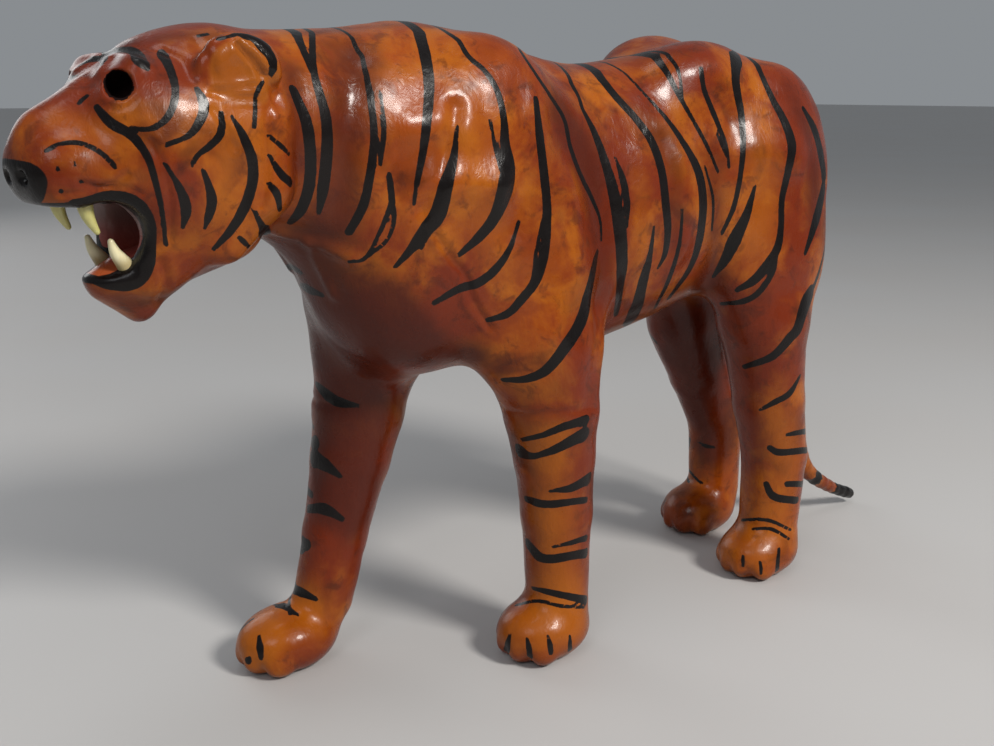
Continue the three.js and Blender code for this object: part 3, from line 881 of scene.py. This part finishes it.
LEG_STROKES = {
    "left_fore_1": [[4, 6, 8, 9], (521, 440), (543, 435), (563, 427), (586, 420)],
    "left_fore_2": [[10, 7, 6, 9, 12], (520, 451), (531, 456), (551, 451), (583, 435)],
    "left_fore_3": [[3, 8, 8], (550, 491), (571, 488), (588, 479)],
    "left_fore_4": [[5, 8, 8, 6], (526, 499), (543, 504), (586, 500)],
    "left_fore_5": [[6, 9, 9, 8], (528, 544), (542, 558), (586, 553)],
    "left_fore_6": [[2, 5, 5], (553, 547), (570, 543), (586, 538)],
    "left_fore_7": [[3, 6, 7, 9], (532, 588), (553, 593), (586, 600)],
    "left_fore_8": [[2, 4, 4, 3], (516, 605), (538, 601), (561, 606), (584, 607)],
    "left_hind_1": [[2, 6, 6, 3], (800, 376), (789, 394), (775, 402), (760, 410)],
    "left_hind_2": [[3, 5, 4], (786, 435), (796, 433), (807, 431)],
    "left_hind_3": [[6, 7, 6], (770, 448), (777, 452), (807, 450)],
    "left_hind_4": [[6, 6, 5], (787, 484), (795, 484), (804, 484)],
    "left_hind_5": [[6, 8, 7], (766, 484), (773, 496), (802, 501)],
    "left_hind_6": [[3, 4, 3], (742, 520), (767, 520), (791, 530)],
    "left_hind_7": [[2, 4, 3], (753, 529), (771, 529), (789, 539)],
}
SINGLE_STROKES = {
    "right_fore_1": [[3, 10, 10, 3], (316, 384), (334, 400), (359, 406)],
    "right_fore_2": [[14, 12, 5], (312, 457), (325, 465), (340, 476)],
    "right_fore_3": [[8, 12, 6], (305, 509), (324, 509), (342, 519)],
    "right_fore_4": [[8, 8], (303, 542), (308, 544)],
    "right_fore_5": [[6, 9, 9, 5], (288, 588), (296, 590), (316, 599)],
    "right_fore_6": [[3, 5, 5, 3], (270, 604), (282, 606), (298, 615)],
    "far_bridge": [[2, 3, 2], (60, 86), (68, 80), (77, 76)],
    "right_hind_1": [[2, 4, 3], (699, 443), (706, 446), (714, 447)],
}
TOE_STROKES = {
    "right_fore_toe": [[3, 8, 5], (259, 636), (260, 648), (261, 658)],
    "left_fore_toe_1": [[3, 5, 4], (510, 634), (508, 643), (507, 651)],
    "left_fore_toe_2": [[3, 6, 5], (527, 639), (529, 648), (530, 656)],
    "left_fore_toe_3": [[3, 6, 5], (548, 636), (550, 645), (551, 653)],
    "left_fore_toe_4": [[2, 4, 3], (570, 636), (570, 643), (570, 650)],
    "left_hind_toe_1": [[3, 4, 3], (760, 562), (761, 568), (761, 574)],
    "left_hind_toe_2": [[3, 4, 3], (779, 549), (778, 560), (777, 570)],
    "left_hind_toe_3": [[3, 4, 3], (743, 556), (743, 561), (743, 566)],
}
THINNEST = 0.75
SPINE_NORMAL = 0.45
SPINE_REACH = 32
SPINE_STEP = 3
SPINE_DRIFT = 0.3
BRUSH_FACING = 0.1
UNPAINTED = -4.0


def over_spine(tree, line):
    """A stroke that starts on the back is carried on to the middle of the spine."""
    points, normals, halves = line
    if normals[0][2] < SPINE_NORMAL or abs(points[0][1]) > SPINE_REACH:
        return line
    steps = max(2, int(abs(points[0][1]) / SPINE_STEP))
    drift = (points[0] - points[min(LINE_STEPS, len(points) - 1)])[0] * SPINE_DRIFT
    share = np.linspace(1, 0, steps, endpoint=False)[:, None]
    spine = points[0] * [1, 0, 1] + [drift, 0, 0]
    across = snapped(tree, spine * share + points[0] * (1 - share))
    halves = np.concatenate([np.full(steps, halves[0]), halves])
    return np.vstack([across[0], points]), np.vstack([across[1], normals]), halves


def brush(points, normals):
    """How far each skin point lies inside the edge of a black stroke, or of a whisker pit's black dot of
    painted shade, in millimetres.
    """
    tree = tree_of(points)
    paint = np.full(len(points), UNPAINTED)

    def put(line):
        index, inside, _ = near_line(points, normals, line, BRUSH_FACING)
        paint[index] = np.maximum(paint[index], inside)

    groups = (
        (HEAD_STROKES, True, False),
        (BODY_STROKES, True, True),
        (LEG_STROKES, True, False),
        (SINGLE_STROKES, False, False),
        (TOE_STROKES, True, False),
    )
    for strokes, twin, spine in groups:
        for widths, *places in strokes.values():
            line = laid(tree, places, widths)
            if len(line[0]) < 2:
                continue
            line = (line[0], line[1], np.maximum(line[2], THINNEST))
            if spine:
                line = over_spine(tree, line)
            put(line)
            if twin:
                put((*snapped(tree, other_side(line[0])), line[2]))
    # Each whisker pit gets a black dot: painted shade in the hole
    return np.maximum(paint, PIT_RADIUS - from_pits(tree, points))


paint = brush(skin_points, skin_normals)

# Darker and redder, or paler and yellower, than plain leather: partly the dye, rubbed on by hand, and
# partly painted shade on the neck, behind the ruff, on the throat, chest, belly, creases, rump, inner right
# foreleg and far hind leg, with painted light on the shoulder, flank, thigh, face, ruff and lower legs.
# Each is [how dark, negative where it is paler, width in pixels, places in the picture].
DYE_SHADE_AND_LIGHT = {
    "neck": [0.9, 66, (352, 60), (345, 130), (335, 215)],
    "behind_ruff": [0.8, 24, (290, 70), (296, 130), (292, 200)],
    "throat": [0.9, 60, (300, 250), (340, 300), (390, 345)],
    "chest": [0.9, 50, (390, 300), (430, 350), (470, 355)],
    "behind_shoulder": [0.9, 34, (560, 110), (588, 170), (600, 230), (602, 290)],
    "rib_groove_shade": [0.6, 30, (646, 110), (672, 170), (672, 250)],
    "belly": [0.5, 30, (612, 322), (660, 302), (710, 284)],
    "flank_fold": [0.7, 24, (712, 180), (716, 230), (706, 280)],
    "rump": [0.8, 36, (790, 90), (812, 150), (815, 220)],
    "back": [0.55, 24, (300, 32), (430, 26), (520, 46)],
    "loin": [0.5, 22, (560, 68), (620, 60), (700, 48)],
    "crown": [0.5, 26, (120, 44), (170, 36), (215, 36)],
    "cheek": [0.5, 30, (150, 95), (170, 120), (150, 150)],
    "jaw": [0.6, 26, (120, 300), (150, 305), (185, 285)],
    "muzzle_side": [0.35, 26, (70, 175), (100, 180), (125, 190)],
    "inner_right_leg": [1.2, 74, (350, 385), (358, 430), (345, 500)],
    "far_hind": [1.2, 60, (680, 330), (705, 400), (712, 450)],
    "shoulder_gold": [-0.45, 60, (470, 120), (480, 200), (500, 260)],
    "arm_gold": [-0.3, 40, (556, 240), (540, 290)],
    "upper_arm": [0.35, 44, (575, 310), (566, 350), (560, 390)],
    "foreleg_gold": [-0.9, 60, (550, 440), (552, 520), (556, 590)],
    "paw_gold": [-0.8, 70, (515, 630), (570, 625)],
    "right_paw_gold": [-0.9, 60, (262, 630), (310, 625)],
    "right_shin_gold": [-0.9, 44, (330, 500), (318, 560), (305, 600)],
    "thigh_gold": [-0.6, 50, (760, 130), (765, 190), (752, 240)],
    "flank_gold": [-0.5, 34, (636, 180), (640, 240)],
    "hind_gold": [-0.6, 50, (775, 400), (785, 470), (760, 545)],
    "face_gold": [-0.5, 40, (60, 120), (100, 130), (140, 175)],
    "ruff_gold": [-0.6, 30, (215, 120), (228, 165), (212, 215)],
}


DYE_SHADE_FACING = -0.2
DYE_SHADE_SPREAD = 1.5
DYE_SHADE_LEAST = -1.2
DYE_SHADE_MOST = 1.4


def dye_shade_and_light_at(points, normals):
    """How much darker or lighter than plain leather each skin point is, by dye and by painted shade and
    painted light.
    """
    tree = tree_of(points)
    depth = np.zeros(len(points))
    for amount, width, *places in DYE_SHADE_AND_LIGHT.values():
        line = laid(tree, places, [width, width])
        twin = (*snapped(tree, other_side(line[0])), line[2])
        for each in (line, twin):
            half = np.median(each[2])
            index, _, distance = near_line(points, normals, each, DYE_SHADE_FACING, half * DYE_SHADE_SPREAD)
            depth[index] += amount * np.exp(-((distance / half) ** 2))
    return np.clip(depth, DYE_SHADE_LEAST, DYE_SHADE_MOST)


dye_shade_and_light = dye_shade_and_light_at(skin_points, skin_normals)

# The black parts that follow the form: the nose, the lips, and the rings and tip of the tail.
NOSE_FROM = 63.2
NOSE_TOP = -2.6
NOSE_CORNER = 7
LIP_WIDTH = 2.4
LIP_ROLL = 1.9
LIP_FROM_TONGUE = 1
BARE_FROM_LIP = 0.4
NEAR_MOUTH = 2
TAIL_RINGS = [40, 75, 110, 145, 178, 208, 232]
TAIL_RING_WIDTH = 7
TAIL_TIP = 20
TAIL_PAINT_FROM = 168
TAIL_SKIN = 2.5
TAIL_REACH = 8.5
TAIL_PAINT_STEPS = 12
THICKEST_PAINT = 4

local = in_head(skin_points)
mouth_distance = mouth(local)
skull_depth = -skull(local)
in_head_zone = local[:, 0] > 0
nose = blend(local[:, 0] - NOSE_FROM, NOSE_TOP - local[:, 2], NOSE_CORNER)
lips = np.minimum(LIP_WIDTH - mouth_distance, LIP_ROLL - np.abs(skull_depth))
lips = np.minimum(lips, tongue(local) - LIP_FROM_TONGUE)
paint = np.where(in_head_zone, np.maximum(paint, np.maximum(nose, lips)), paint)
near_mouth = in_head_zone & (mouth_distance < NEAR_MOUTH)
paint[near_mouth & (skull_depth > LIP_ROLL + BARE_FROM_LIP)] = UNPAINTED

tail_fine = curve_through(TAIL_LINE, TAIL_PAINT_STEPS)
tail_way = np.concatenate([[0], np.cumsum(np.linalg.norm(np.diff(tail_fine, axis=0), axis=1))])
on_tail = np.nonzero((skin_points[:, 0] > TAIL_PAINT_FROM) & (tail(skin_points) < TAIL_SKIN))[0]
gap = np.linalg.norm(skin_points[on_tail][:, None] - tail_fine[None], axis=2)
tail_place = tail_way[gap.argmin(axis=1)]
nearest_line = gap.min(axis=1)
rings = np.max([TAIL_RING_WIDTH / 2 - np.abs(tail_place - ring) for ring in TAIL_RINGS], axis=0)
tip = TAIL_TIP - (tail_way[-1] - tail_place)
tail_paint = np.where(nearest_line < TAIL_REACH, np.maximum(rings, tip), UNPAINTED)
paint[on_tail] = np.maximum(paint[on_tail], tail_paint)
paint = np.clip(paint, UNPAINTED, THICKEST_PAINT)

# How far each point is inside the mouth, the eye holes and the ears, where the colour differs: painted
# shade in the eye holes, painted light in the mouth, and a paler tan in the ears
FAR_OUTSIDE = -4
DEEPEST = 6
TONGUE_EDGE = 2.5
EYE_HOLE_SKIN = 1.2
EAR_SKIN = 3.2
EAR_BACK = -12
JAW_FLOOR_FROM = [33, -33]
JAW_FLOOR_RUN = [6, 3]
MOUTH_BOTTOM = -40
MOUTH_RISE = 26

mouth_inside = np.where(near_mouth, np.maximum(skull_depth, TONGUE_EDGE - tongue(local)), FAR_OUTSIDE)
eye_inside = np.where(in_head_zone, EYE_HOLE_SKIN - eye_holes(local), FAR_OUTSIDE)
ear_inside = np.where(local[:, 0] > EAR_BACK, EAR_SKIN - ear_hollows(local), FAR_OUTSIDE)
jaw_front = np.clip((local[:, 0] - JAW_FLOOR_FROM[0]) / JAW_FLOOR_RUN[0], 0, 1)
jaw_low = np.clip((JAW_FLOOR_FROM[1] - local[:, 2]) / JAW_FLOOR_RUN[1], 0, 1)
mouth_height = np.clip((local[:, 2] - MOUTH_BOTTOM) / MOUTH_RISE, 0, 1)


def skin_mesh():
    """The fine skin in metres, in the frame of the whole figure, with its paint and its dye, painted shade
    and painted light as attributes.
    """
    mesh = bpy.data.meshes.new("leather_skin")
    points = (skin_points - [MIDDLE_OF_LENGTH, 0, 0]) * MM
    mesh.from_pydata(points.tolist(), [], skin_quads.tolist())
    mesh.validate()
    mesh.polygons.foreach_set("use_smooth", np.ones(len(mesh.polygons), bool))
    layers = {
        "stripe": paint,
        "dye_shade_and_light": dye_shade_and_light,
        "mouth": np.clip(mouth_inside, FAR_OUTSIDE, DEEPEST),
        "mouth_height": mouth_height,
        "jaw_floor": jaw_front * jaw_low,
        "eye": np.clip(eye_inside, FAR_OUTSIDE, THICKEST_PAINT),
        "ear": np.clip(ear_inside, FAR_OUTSIDE, THICKEST_PAINT),
    }
    for name, values in layers.items():
        layer = mesh.attributes.new(name, "FLOAT", "POINT")
        layer.data.foreach_set("value", values.astype(np.float32))
    mesh.update()
    return mesh


def linear(red, green, blue):
    """A colour given as it looks on a screen, from 0 to 255, as the linear colour that a shader takes."""
    parts = [c / 255 for c in (red, green, blue)]
    return [c / 12.92 if c < 0.04045 else ((c + 0.055) / 1.055) ** 2.4 for c in parts] + [1.0]


class Nodes:
    """A few short calls that build a material's node tree."""

    def __init__(self, name):
        self.material = bpy.data.materials.new(name)
        self.material.use_nodes = True
        self.tree = self.material.node_tree
        self.tree.nodes.clear()

    def add(self, kind, inputs=None, **settings):
        node = self.tree.nodes.new(kind)
        for key, value in settings.items():
            setattr(node, key, value)
        for key, value in (inputs or {}).items():
            if isinstance(value, bpy.types.NodeSocket):
                self.tree.links.new(value, node.inputs[key])
            else:
                node.inputs[key].default_value = value
        return node

    def place(self):
        return self.add("ShaderNodeTexCoord").outputs["Object"]

    def attribute(self, name):
        return self.add("ShaderNodeAttribute", attribute_name=name).outputs["Fac"]

    def noise(self, vector, scale, detail=3.0, roughness=0.55, distortion=0.0):
        node = self.add(
            "ShaderNodeTexNoise",
            {
                "Vector": vector,
                "Scale": scale,
                "Detail": detail,
                "Roughness": roughness,
                "Distortion": distortion,
            },
        )
        return node.outputs["Fac"]

    def stretched(self, vector, scale):
        return self.add("ShaderNodeMapping", {"Vector": vector, "Scale": scale}).outputs["Vector"]

    def math(self, operation, a, b=0.0, c=0.0):
        return self.add("ShaderNodeMath", {0: a, 1: b, 2: c}, operation=operation).outputs[0]

    def ramp(self, value, low, high, start=0.0, end=1.0):
        node = self.add(
            "ShaderNodeMapRange",
            {"Value": value, "From Min": low, "From Max": high, "To Min": start, "To Max": end},
            interpolation_type="SMOOTHSTEP",
        )
        return node.outputs["Result"]

    def mix(self, share, a, b):
        node = self.add("ShaderNodeMix", {"Factor": share}, data_type="RGBA")
        for name, value in (("A", a), ("B", b)):
            socket = [s for s in node.inputs if s.name == name and s.type == "RGBA"][0]
            if isinstance(value, bpy.types.NodeSocket):
                self.tree.links.new(value, socket)
            else:
                socket.default_value = value
        return [s for s in node.outputs if s.type == "RGBA"][0]

    def bump(self, height, strength, distance, normal=None):
        inputs = {"Height": height, "Strength": strength, "Distance": distance}
        if normal is not None:
            inputs["Normal"] = normal
        return self.add("ShaderNodeBump", inputs).outputs["Normal"]

    def finish(self, inputs):
        shader = self.add("ShaderNodeBsdfPrincipled", inputs)
        self.add("ShaderNodeOutputMaterial", {"Surface": shader.outputs["BSDF"]})
        return self.material


# The leather's dyes and paint, as they look on a screen. The soaked brown and the yellow tan also serve
# as painted shade and painted light, the mouth's colours are lightened as painted light in its shade,
# and the near-black brown inside the eye holes is painted shade.
ORANGE_BROWN = linear(142, 62, 5)
YELLOW_TAN = linear(160, 85, 12)
RED_BROWN = linear(108, 35, 5)
DARK_BROWN = linear(58, 20, 8)
# A dark red-brown that stands for dye and for painted shade
SOAKED_AND_SHADED_BROWN = linear(74, 22, 6)
EAR_TAN = linear(146, 78, 18)
LACQUER_BLACK = linear(10, 4, 3)
# The mouth's inside is coloured lighter, as painted light in its shade, and greyer towards the top
MOUTH_MAROON_LIGHTENED = linear(168, 78, 68)
MOUTH_UPPER_LIGHTENED = linear(108, 82, 78)
JAW_TAN = linear(152, 72, 38)
# Painted shade inside the empty eye holes
HOLE_SHADE_BROWN = linear(26, 9, 7)


# How many patches of each kind there are to a metre
CLOUDS = 14
MOTTLING = 46
SPECKLES = 190
STAINS = 30
BLOTCHES = 120
BRUSH_RAGS = 300
WRINKLES = 320
SOFT_FOLDS = 85
DULL_PATCHES = 90
HOLE_GRAIN = 500


def leather():
    """Dyed and burnished leather with painted shade and painted light, black lacquer strokes, a dark mouth
    lightened by painted light, and paler insides of the ears.
    """
    n = Nodes("burnished_leather")
    place = n.place()
    clouds = n.noise(place, CLOUDS, 2)
    mottle = n.noise(place, MOTTLING, 4, 0.6, 0.4)
    speckle = n.noise(place, SPECKLES, 3, 0.6)
    base = n.mix(n.ramp(mottle, 0.36, 0.66), ORANGE_BROWN, YELLOW_TAN)
    clouded = n.math("MULTIPLY_ADD", clouds, 0.6, n.math("MULTIPLY", mottle, 0.4))
    base = n.mix(n.ramp(clouded, 0.44, 0.6), RED_BROWN, base)
    stain = n.ramp(n.noise(place, STAINS, 3, 0.6, 0.8), 0.53, 0.7, 0.0, 0.6)
    base = n.mix(stain, base, DARK_BROWN)
    blotch = n.ramp(n.noise(place, BLOTCHES, 4, 0.65, 0.6), 0.52, 0.68, 0.0, 0.5)
    base = n.mix(blotch, base, DARK_BROWN)
    base = n.mix(n.ramp(speckle, 0.5, 0.8, 0.0, 0.35), base, RED_BROWN)
    # Dye with painted shade and painted light: darker and redder where the attribute is high, yellower
    # where low
    dye_shade_and_mottle = n.math("ADD", n.attribute("dye_shade_and_light"), n.math("MULTIPLY_ADD", mottle, 1.6, -0.8))
    base = n.mix(n.ramp(dye_shade_and_mottle, 0.05, 1.1, 0, 0.92), base, SOAKED_AND_SHADED_BROWN)
    base = n.mix(n.ramp(dye_shade_and_mottle, -0.1, -1.0, 0, 0.8), base, YELLOW_TAN)
    base = n.mix(n.ramp(n.attribute("ear"), -0.6, 0.8, 0.0, 0.8), base, EAR_TAN)
    # The mouth's inside, lightened as painted light in its shade
    throat = n.mix(n.ramp(n.attribute("mouth_height"), 0.25, 0.75), MOUTH_MAROON_LIGHTENED, MOUTH_UPPER_LIGHTENED)
    throat = n.mix(n.attribute("jaw_floor"), throat, JAW_TAN)
    base = n.mix(n.ramp(n.attribute("mouth"), 0.6, 1.8), base, throat)
    ragged = n.math("MULTIPLY_ADD", n.noise(place, BRUSH_RAGS, 3, 0.6), 0.5, -0.25)
    edge = n.math("ADD", n.attribute("stripe"), ragged)
    painted = n.ramp(edge, -0.12, 0.12)
    colour = n.mix(painted, base, LACQUER_BLACK)
    wrinkle = n.noise(n.stretched(place, (1, 1, 0.6)), WRINKLES, 4, 0.6, 1.2)
    soft_folds = n.noise(n.stretched(place, (1, 1, 0.45)), SOFT_FOLDS, 3, 0.5, 0.6)
    normal = n.bump(soft_folds, 0.35, 0.0012)
    normal = n.bump(wrinkle, 0.4, 0.0005, normal)
    roughness = n.ramp(n.noise(place, DULL_PATCHES, 3), 0.3, 0.7, 0.24, 0.38)
    return n.finish(
        {
            "Base Color": colour,
            "Roughness": roughness,
            "Normal": normal,
            "Specular IOR Level": 0.22,
            "Coat Weight": 0.12,
            "Coat Roughness": 0.1,
        }
    )


def eye_hole_shade():
    """The dull, nearly black inside of the empty eye holes: painted shade in the holes."""
    n = Nodes("eye_hole_painted_shade")
    grain = n.noise(n.place(), HOLE_GRAIN, 3)
    colour = n.mix(n.ramp(grain, 0.3, 0.7, 0, 0.5), HOLE_SHADE_BROWN, LACQUER_BLACK)
    return n.finish({"Base Color": colour, "Roughness": 0.9, "Specular IOR Level": 0.1})


MOST_TRIANGLES = 196000
EYE_HOLE_EDGE = 0.6
PAINT_EDGE_KEPT = 1.2
PAINT_EDGE_RUN = 2
HEAD_KEPT_TO = -95
HEAD_KEPT_RUN = 15
THINNING_LEVELS = 4


def skin_piece():
    """The skin as one piece. The fine net is thinned away from the edges of the paint and from the head."""
    fine = bpy.data.objects.new("fine_skin", skin_mesh())
    fine.data.materials.append(leather())
    fine.data.materials.append(eye_hole_shade())
    bpy.context.scene.collection.objects.link(fine)
    group = fine.vertex_groups.new(name="plain")
    off_edge = np.clip((np.abs(paint) - PAINT_EDGE_KEPT) / PAINT_EDGE_RUN, 0, 1)
    off_head = np.clip((skin_points[:, 0] - HEAD_KEPT_TO) / HEAD_KEPT_RUN, 0, 1)
    for level in range(1, THINNING_LEVELS + 1):
        chosen = np.nonzero(np.round(off_edge * off_head * THINNING_LEVELS) == level)[0]
        group.add(chosen.tolist(), level / THINNING_LEVELS, "REPLACE")
    thin = fine.modifiers.new("thin", "DECIMATE")
    thin.ratio = MOST_TRIANGLES / (2 * len(skin_quads))
    thin.vertex_group = "plain"
    thin.vertex_group_factor = 1.0
    bpy.context.view_layer.update()
    mesh = bpy.data.meshes.new_from_object(fine.evaluated_get(bpy.context.evaluated_depsgraph_get()))
    bpy.data.objects.remove(fine)
    eye = np.zeros(len(mesh.vertices), np.float32)
    mesh.attributes["eye"].data.foreach_get("value", eye)
    for face in mesh.polygons:
        if min(eye[n] for n in face.vertices) > EYE_HOLE_EDGE:
            face.material_index = 1
    piece = bpy.data.objects.new("leather_skin", mesh)
    bpy.context.scene.collection.objects.link(piece)
    return piece


body = skin_piece()
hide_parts("leather_body")
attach(body, "root")


# The canines: four pale carved teeth, glued into sockets in the gums. Each is swept along its own bowed
# line by geometry nodes, thick at the gum and rounded at the tip.
CANINE_ROOT_RADIUS = 2.6
CANINE_TIP_RADIUS = 0.75
CANINE_SUNK = 3.2
CANINE_CURVE = 0.8
CANINE_SIDES = 24
CANINE_STEPS = 14
CANINE_TAPER = 1.3
IVORY_GRAIN = 900
ROOT_DARKER_SHARE = 0.45
CANINES = {
    "upper": {"gum": [51.6, 9, -14.5], "lean": 200, "length": 11.5},
    "lower": {"gum": [39, 7.2, -35.8], "lean": 27, "length": 9.8},
}
IVORY = linear(226, 216, 176)
IVORY_GREEN = linear(196, 190, 120)
IVORY_ROOT = linear(150, 128, 74)


def tooth_material(name, shade, gum_z, tip_z):
    """Polished ivory, darker and browner towards the gum."""
    n = Nodes(name)
    place = n.place()
    height = n.add("ShaderNodeSeparateXYZ", {"Vector": place}).outputs["Z"]
    grain = n.noise(n.stretched(place, (1, 1, 0.2)), IVORY_GRAIN, 3, 0.6)
    root = n.ramp(height, gum_z + (tip_z - gum_z) * ROOT_DARKER_SHARE, gum_z, 0.0, 0.75)
    colour = n.mix(root, shade, IVORY_ROOT)
    colour = n.mix(n.ramp(grain, 0.4, 0.8, 0.0, 0.3), colour, IVORY_ROOT)
    return n.finish(
        {
            "Base Color": colour,
            "Roughness": 0.3,
            "Normal": n.bump(grain, 0.2, 0.0002),
            "Subsurface Weight": 0.15,
            "Subsurface Radius": (0.002, 0.0015, 0.001),
            "Coat Weight": 0.3,
            "Coat Roughness": 0.15,
        }
    )


def sweep_tree(name, material):
    """Sweeps a round section along a curve, as thick as the curve's radius at each place."""
    tree = bpy.data.node_groups.new(name, "GeometryNodeTree")
    tree.interface.new_socket("Line", in_out="INPUT", socket_type="NodeSocketGeometry")
    sides = tree.interface.new_socket("Sides", in_out="INPUT", socket_type="NodeSocketInt")
    sides.default_value = CANINE_SIDES
    tree.interface.new_socket("Tooth", in_out="OUTPUT", socket_type="NodeSocketGeometry")
    nodes = tree.nodes
    source = nodes.new("NodeGroupInput")
    section = nodes.new("GeometryNodeCurvePrimitiveCircle")
    section.inputs["Radius"].default_value = 1.0
    sweep = nodes.new("GeometryNodeCurveToMesh")
    sweep.inputs["Fill Caps"].default_value = True
    radius = nodes.new("GeometryNodeInputRadius")
    smooth = nodes.new("GeometryNodeSetShadeSmooth")
    realize = nodes.new("GeometryNodeRealizeInstances")
    paint_on = nodes.new("GeometryNodeSetMaterial")
    paint_on.inputs["Material"].default_value = material
    result = nodes.new("NodeGroupOutput")
    link = tree.links.new
    link(source.outputs["Sides"], section.inputs["Resolution"])
    link(source.outputs["Line"], sweep.inputs["Curve"])
    link(section.outputs["Curve"], sweep.inputs["Profile Curve"])
    if "Scale" in sweep.inputs:
        link(radius.outputs["Radius"], sweep.inputs["Scale"])
    link(sweep.outputs["Mesh"], smooth.inputs["Geometry"])
    link(smooth.outputs["Geometry"], realize.inputs["Geometry"])
    link(realize.outputs["Geometry"], paint_on.inputs["Geometry"])
    link(paint_on.outputs["Geometry"], result.inputs["Tooth"])
    return tree


def canine(name, gum, lean, length, side, shade):
    """One tooth, from its foot in the gum. side is 1 for left and -1 for right."""
    lean = math.radians(lean)
    along = np.array([math.sin(lean), 0, math.cos(lean)])
    forward = np.array([abs(along[2]), 0, 0])
    foot = np.array([gum[0], side * gum[1], gum[2]])
    bowed = foot + along * length / 2 + forward * CANINE_CURVE
    way = curve_through([foot - along * CANINE_SUNK, foot, bowed, foot + along * length], CANINE_STEPS)
    run = np.concatenate([[0], np.cumsum(np.linalg.norm(np.diff(way, axis=0), axis=1))])
    shown = np.clip((run - CANINE_SUNK) / (run[-1] - CANINE_SUNK), 0, 1)
    radii = CANINE_ROOT_RADIUS + (CANINE_TIP_RADIUS - CANINE_ROOT_RADIUS) * shown**CANINE_TAPER
    to_tip = np.clip((run[-1] - run) / CANINE_TIP_RADIUS, 0.02, 1)
    radii *= np.sqrt(np.clip(1 - (1 - to_tip) ** 2, 0.01, 1))
    place = (way @ head_axes.T + HEAD_AT - [MIDDLE_OF_LENGTH, 0, 0]) * MM
    curve = bpy.data.curves.new(name, "CURVE")
    curve.dimensions = "3D"
    spline = curve.splines.new("POLY")
    spline.points.add(len(place) - 1)
    for point, at, radius in zip(spline.points, place, radii):
        point.co = (*at, 1)
        point.radius = radius * MM
    line_object = bpy.data.objects.new(name + "_line", curve)
    bpy.context.scene.collection.objects.link(line_object)
    material = tooth_material(name + "_ivory", shade, place[CANINE_STEPS][2], place[-1][2])
    modifier = line_object.modifiers.new("sweep", "NODES")
    modifier.node_group = sweep_tree(name + "_sweep", material)
    bpy.context.view_layer.update()
    swept = line_object.evaluated_get(bpy.context.evaluated_depsgraph_get())
    mesh = bpy.data.meshes.new_from_object(swept)
    bpy.data.objects.remove(line_object)
    tooth = bpy.data.objects.new(name + "_tooth", mesh)
    bpy.context.scene.collection.objects.link(tooth)
    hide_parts(name)
    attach(tooth, "root")


for which, shape in CANINES.items():
    for side, side_name in ((1, "left"), (-1, "right")):
        shade = IVORY_GREEN if which == "upper" else IVORY
        canine(f"{which}_{side_name}_canine", shape["gum"], shape["lean"], shape["length"], side, shade)


# The studio: a plain pale floor and a grey surround, with a soft main light high at the tiger's left, a
# fill from its front, and weaker lights behind and over it that show the gloss along its top. A light is
# [place, what it points at, width in metres, power in watts, colour].
FLOOR_SIZE = 30.0
FLOOR_GREY = (0.47, 0.455, 0.445, 1)
SURROUND_GREY = (0.5, 0.53, 0.56, 1)
SURROUND_STRENGTH = 0.5
LIGHTS = {
    "key": [(0.27, -1.15, 1.1), (0, 0, 0.12), 0.36, 23, (1, 0.97, 0.92)],
    "fill": [(-1.15, -0.8, 1.3), (0, 0, 0.12), 0.7, 4.5, (0.96, 0.98, 1)],
    "back": [(-0.3, 1.6, 0.8), (0, 0, 0.12), 1.0, 4.5, (1, 1, 1)],
    "top": [(-0.2, 0, 1.7), (-0.1, 0, 0.12), 0.6, 3, (1, 1, 1)],
}


def floor():
    n = Nodes("pale_floor")
    shade = n.noise(n.place(), 3, 2)
    colour = n.mix(n.ramp(shade, 0.3, 0.7, 0, 0.15), FLOOR_GREY, SURROUND_GREY)
    material = n.finish({"Base Color": colour, "Roughness": 0.55})
    mesh = bpy.data.meshes.new("floor")
    half = FLOOR_SIZE / 2
    corners = [(-half, -half, 0), (half, -half, 0), (half, half, 0), (-half, half, 0)]
    mesh.from_pydata(corners, [], [(0, 1, 2, 3)])
    mesh.materials.append(material)
    plane = bpy.data.objects.new("floor", mesh)
    bpy.context.scene.collection.objects.link(plane)


def soft_light(name, at, aim, size, power, colour):
    data = bpy.data.lights.new(name, "AREA")
    data.shape = "DISK"
    data.size = size
    data.energy = power
    data.color = colour
    light = bpy.data.objects.new(name, data)
    light.location = at
    way = Vector(aim) - Vector(at)
    light.rotation_euler = way.to_track_quat("-Z", "Y").to_euler()
    bpy.context.scene.collection.objects.link(light)


def surround():
    world = bpy.data.worlds.new("surround")
    world.use_nodes = True
    background = world.node_tree.nodes["Background"]
    background.inputs["Color"].default_value = SURROUND_GREY
    background.inputs["Strength"].default_value = SURROUND_STRENGTH
    bpy.context.scene.world = world


floor()
surround()
for light_name, settings in LIGHTS.items():
    soft_light(light_name, *settings)
bpy.context.scene.view_settings.view_transform = "Standard"
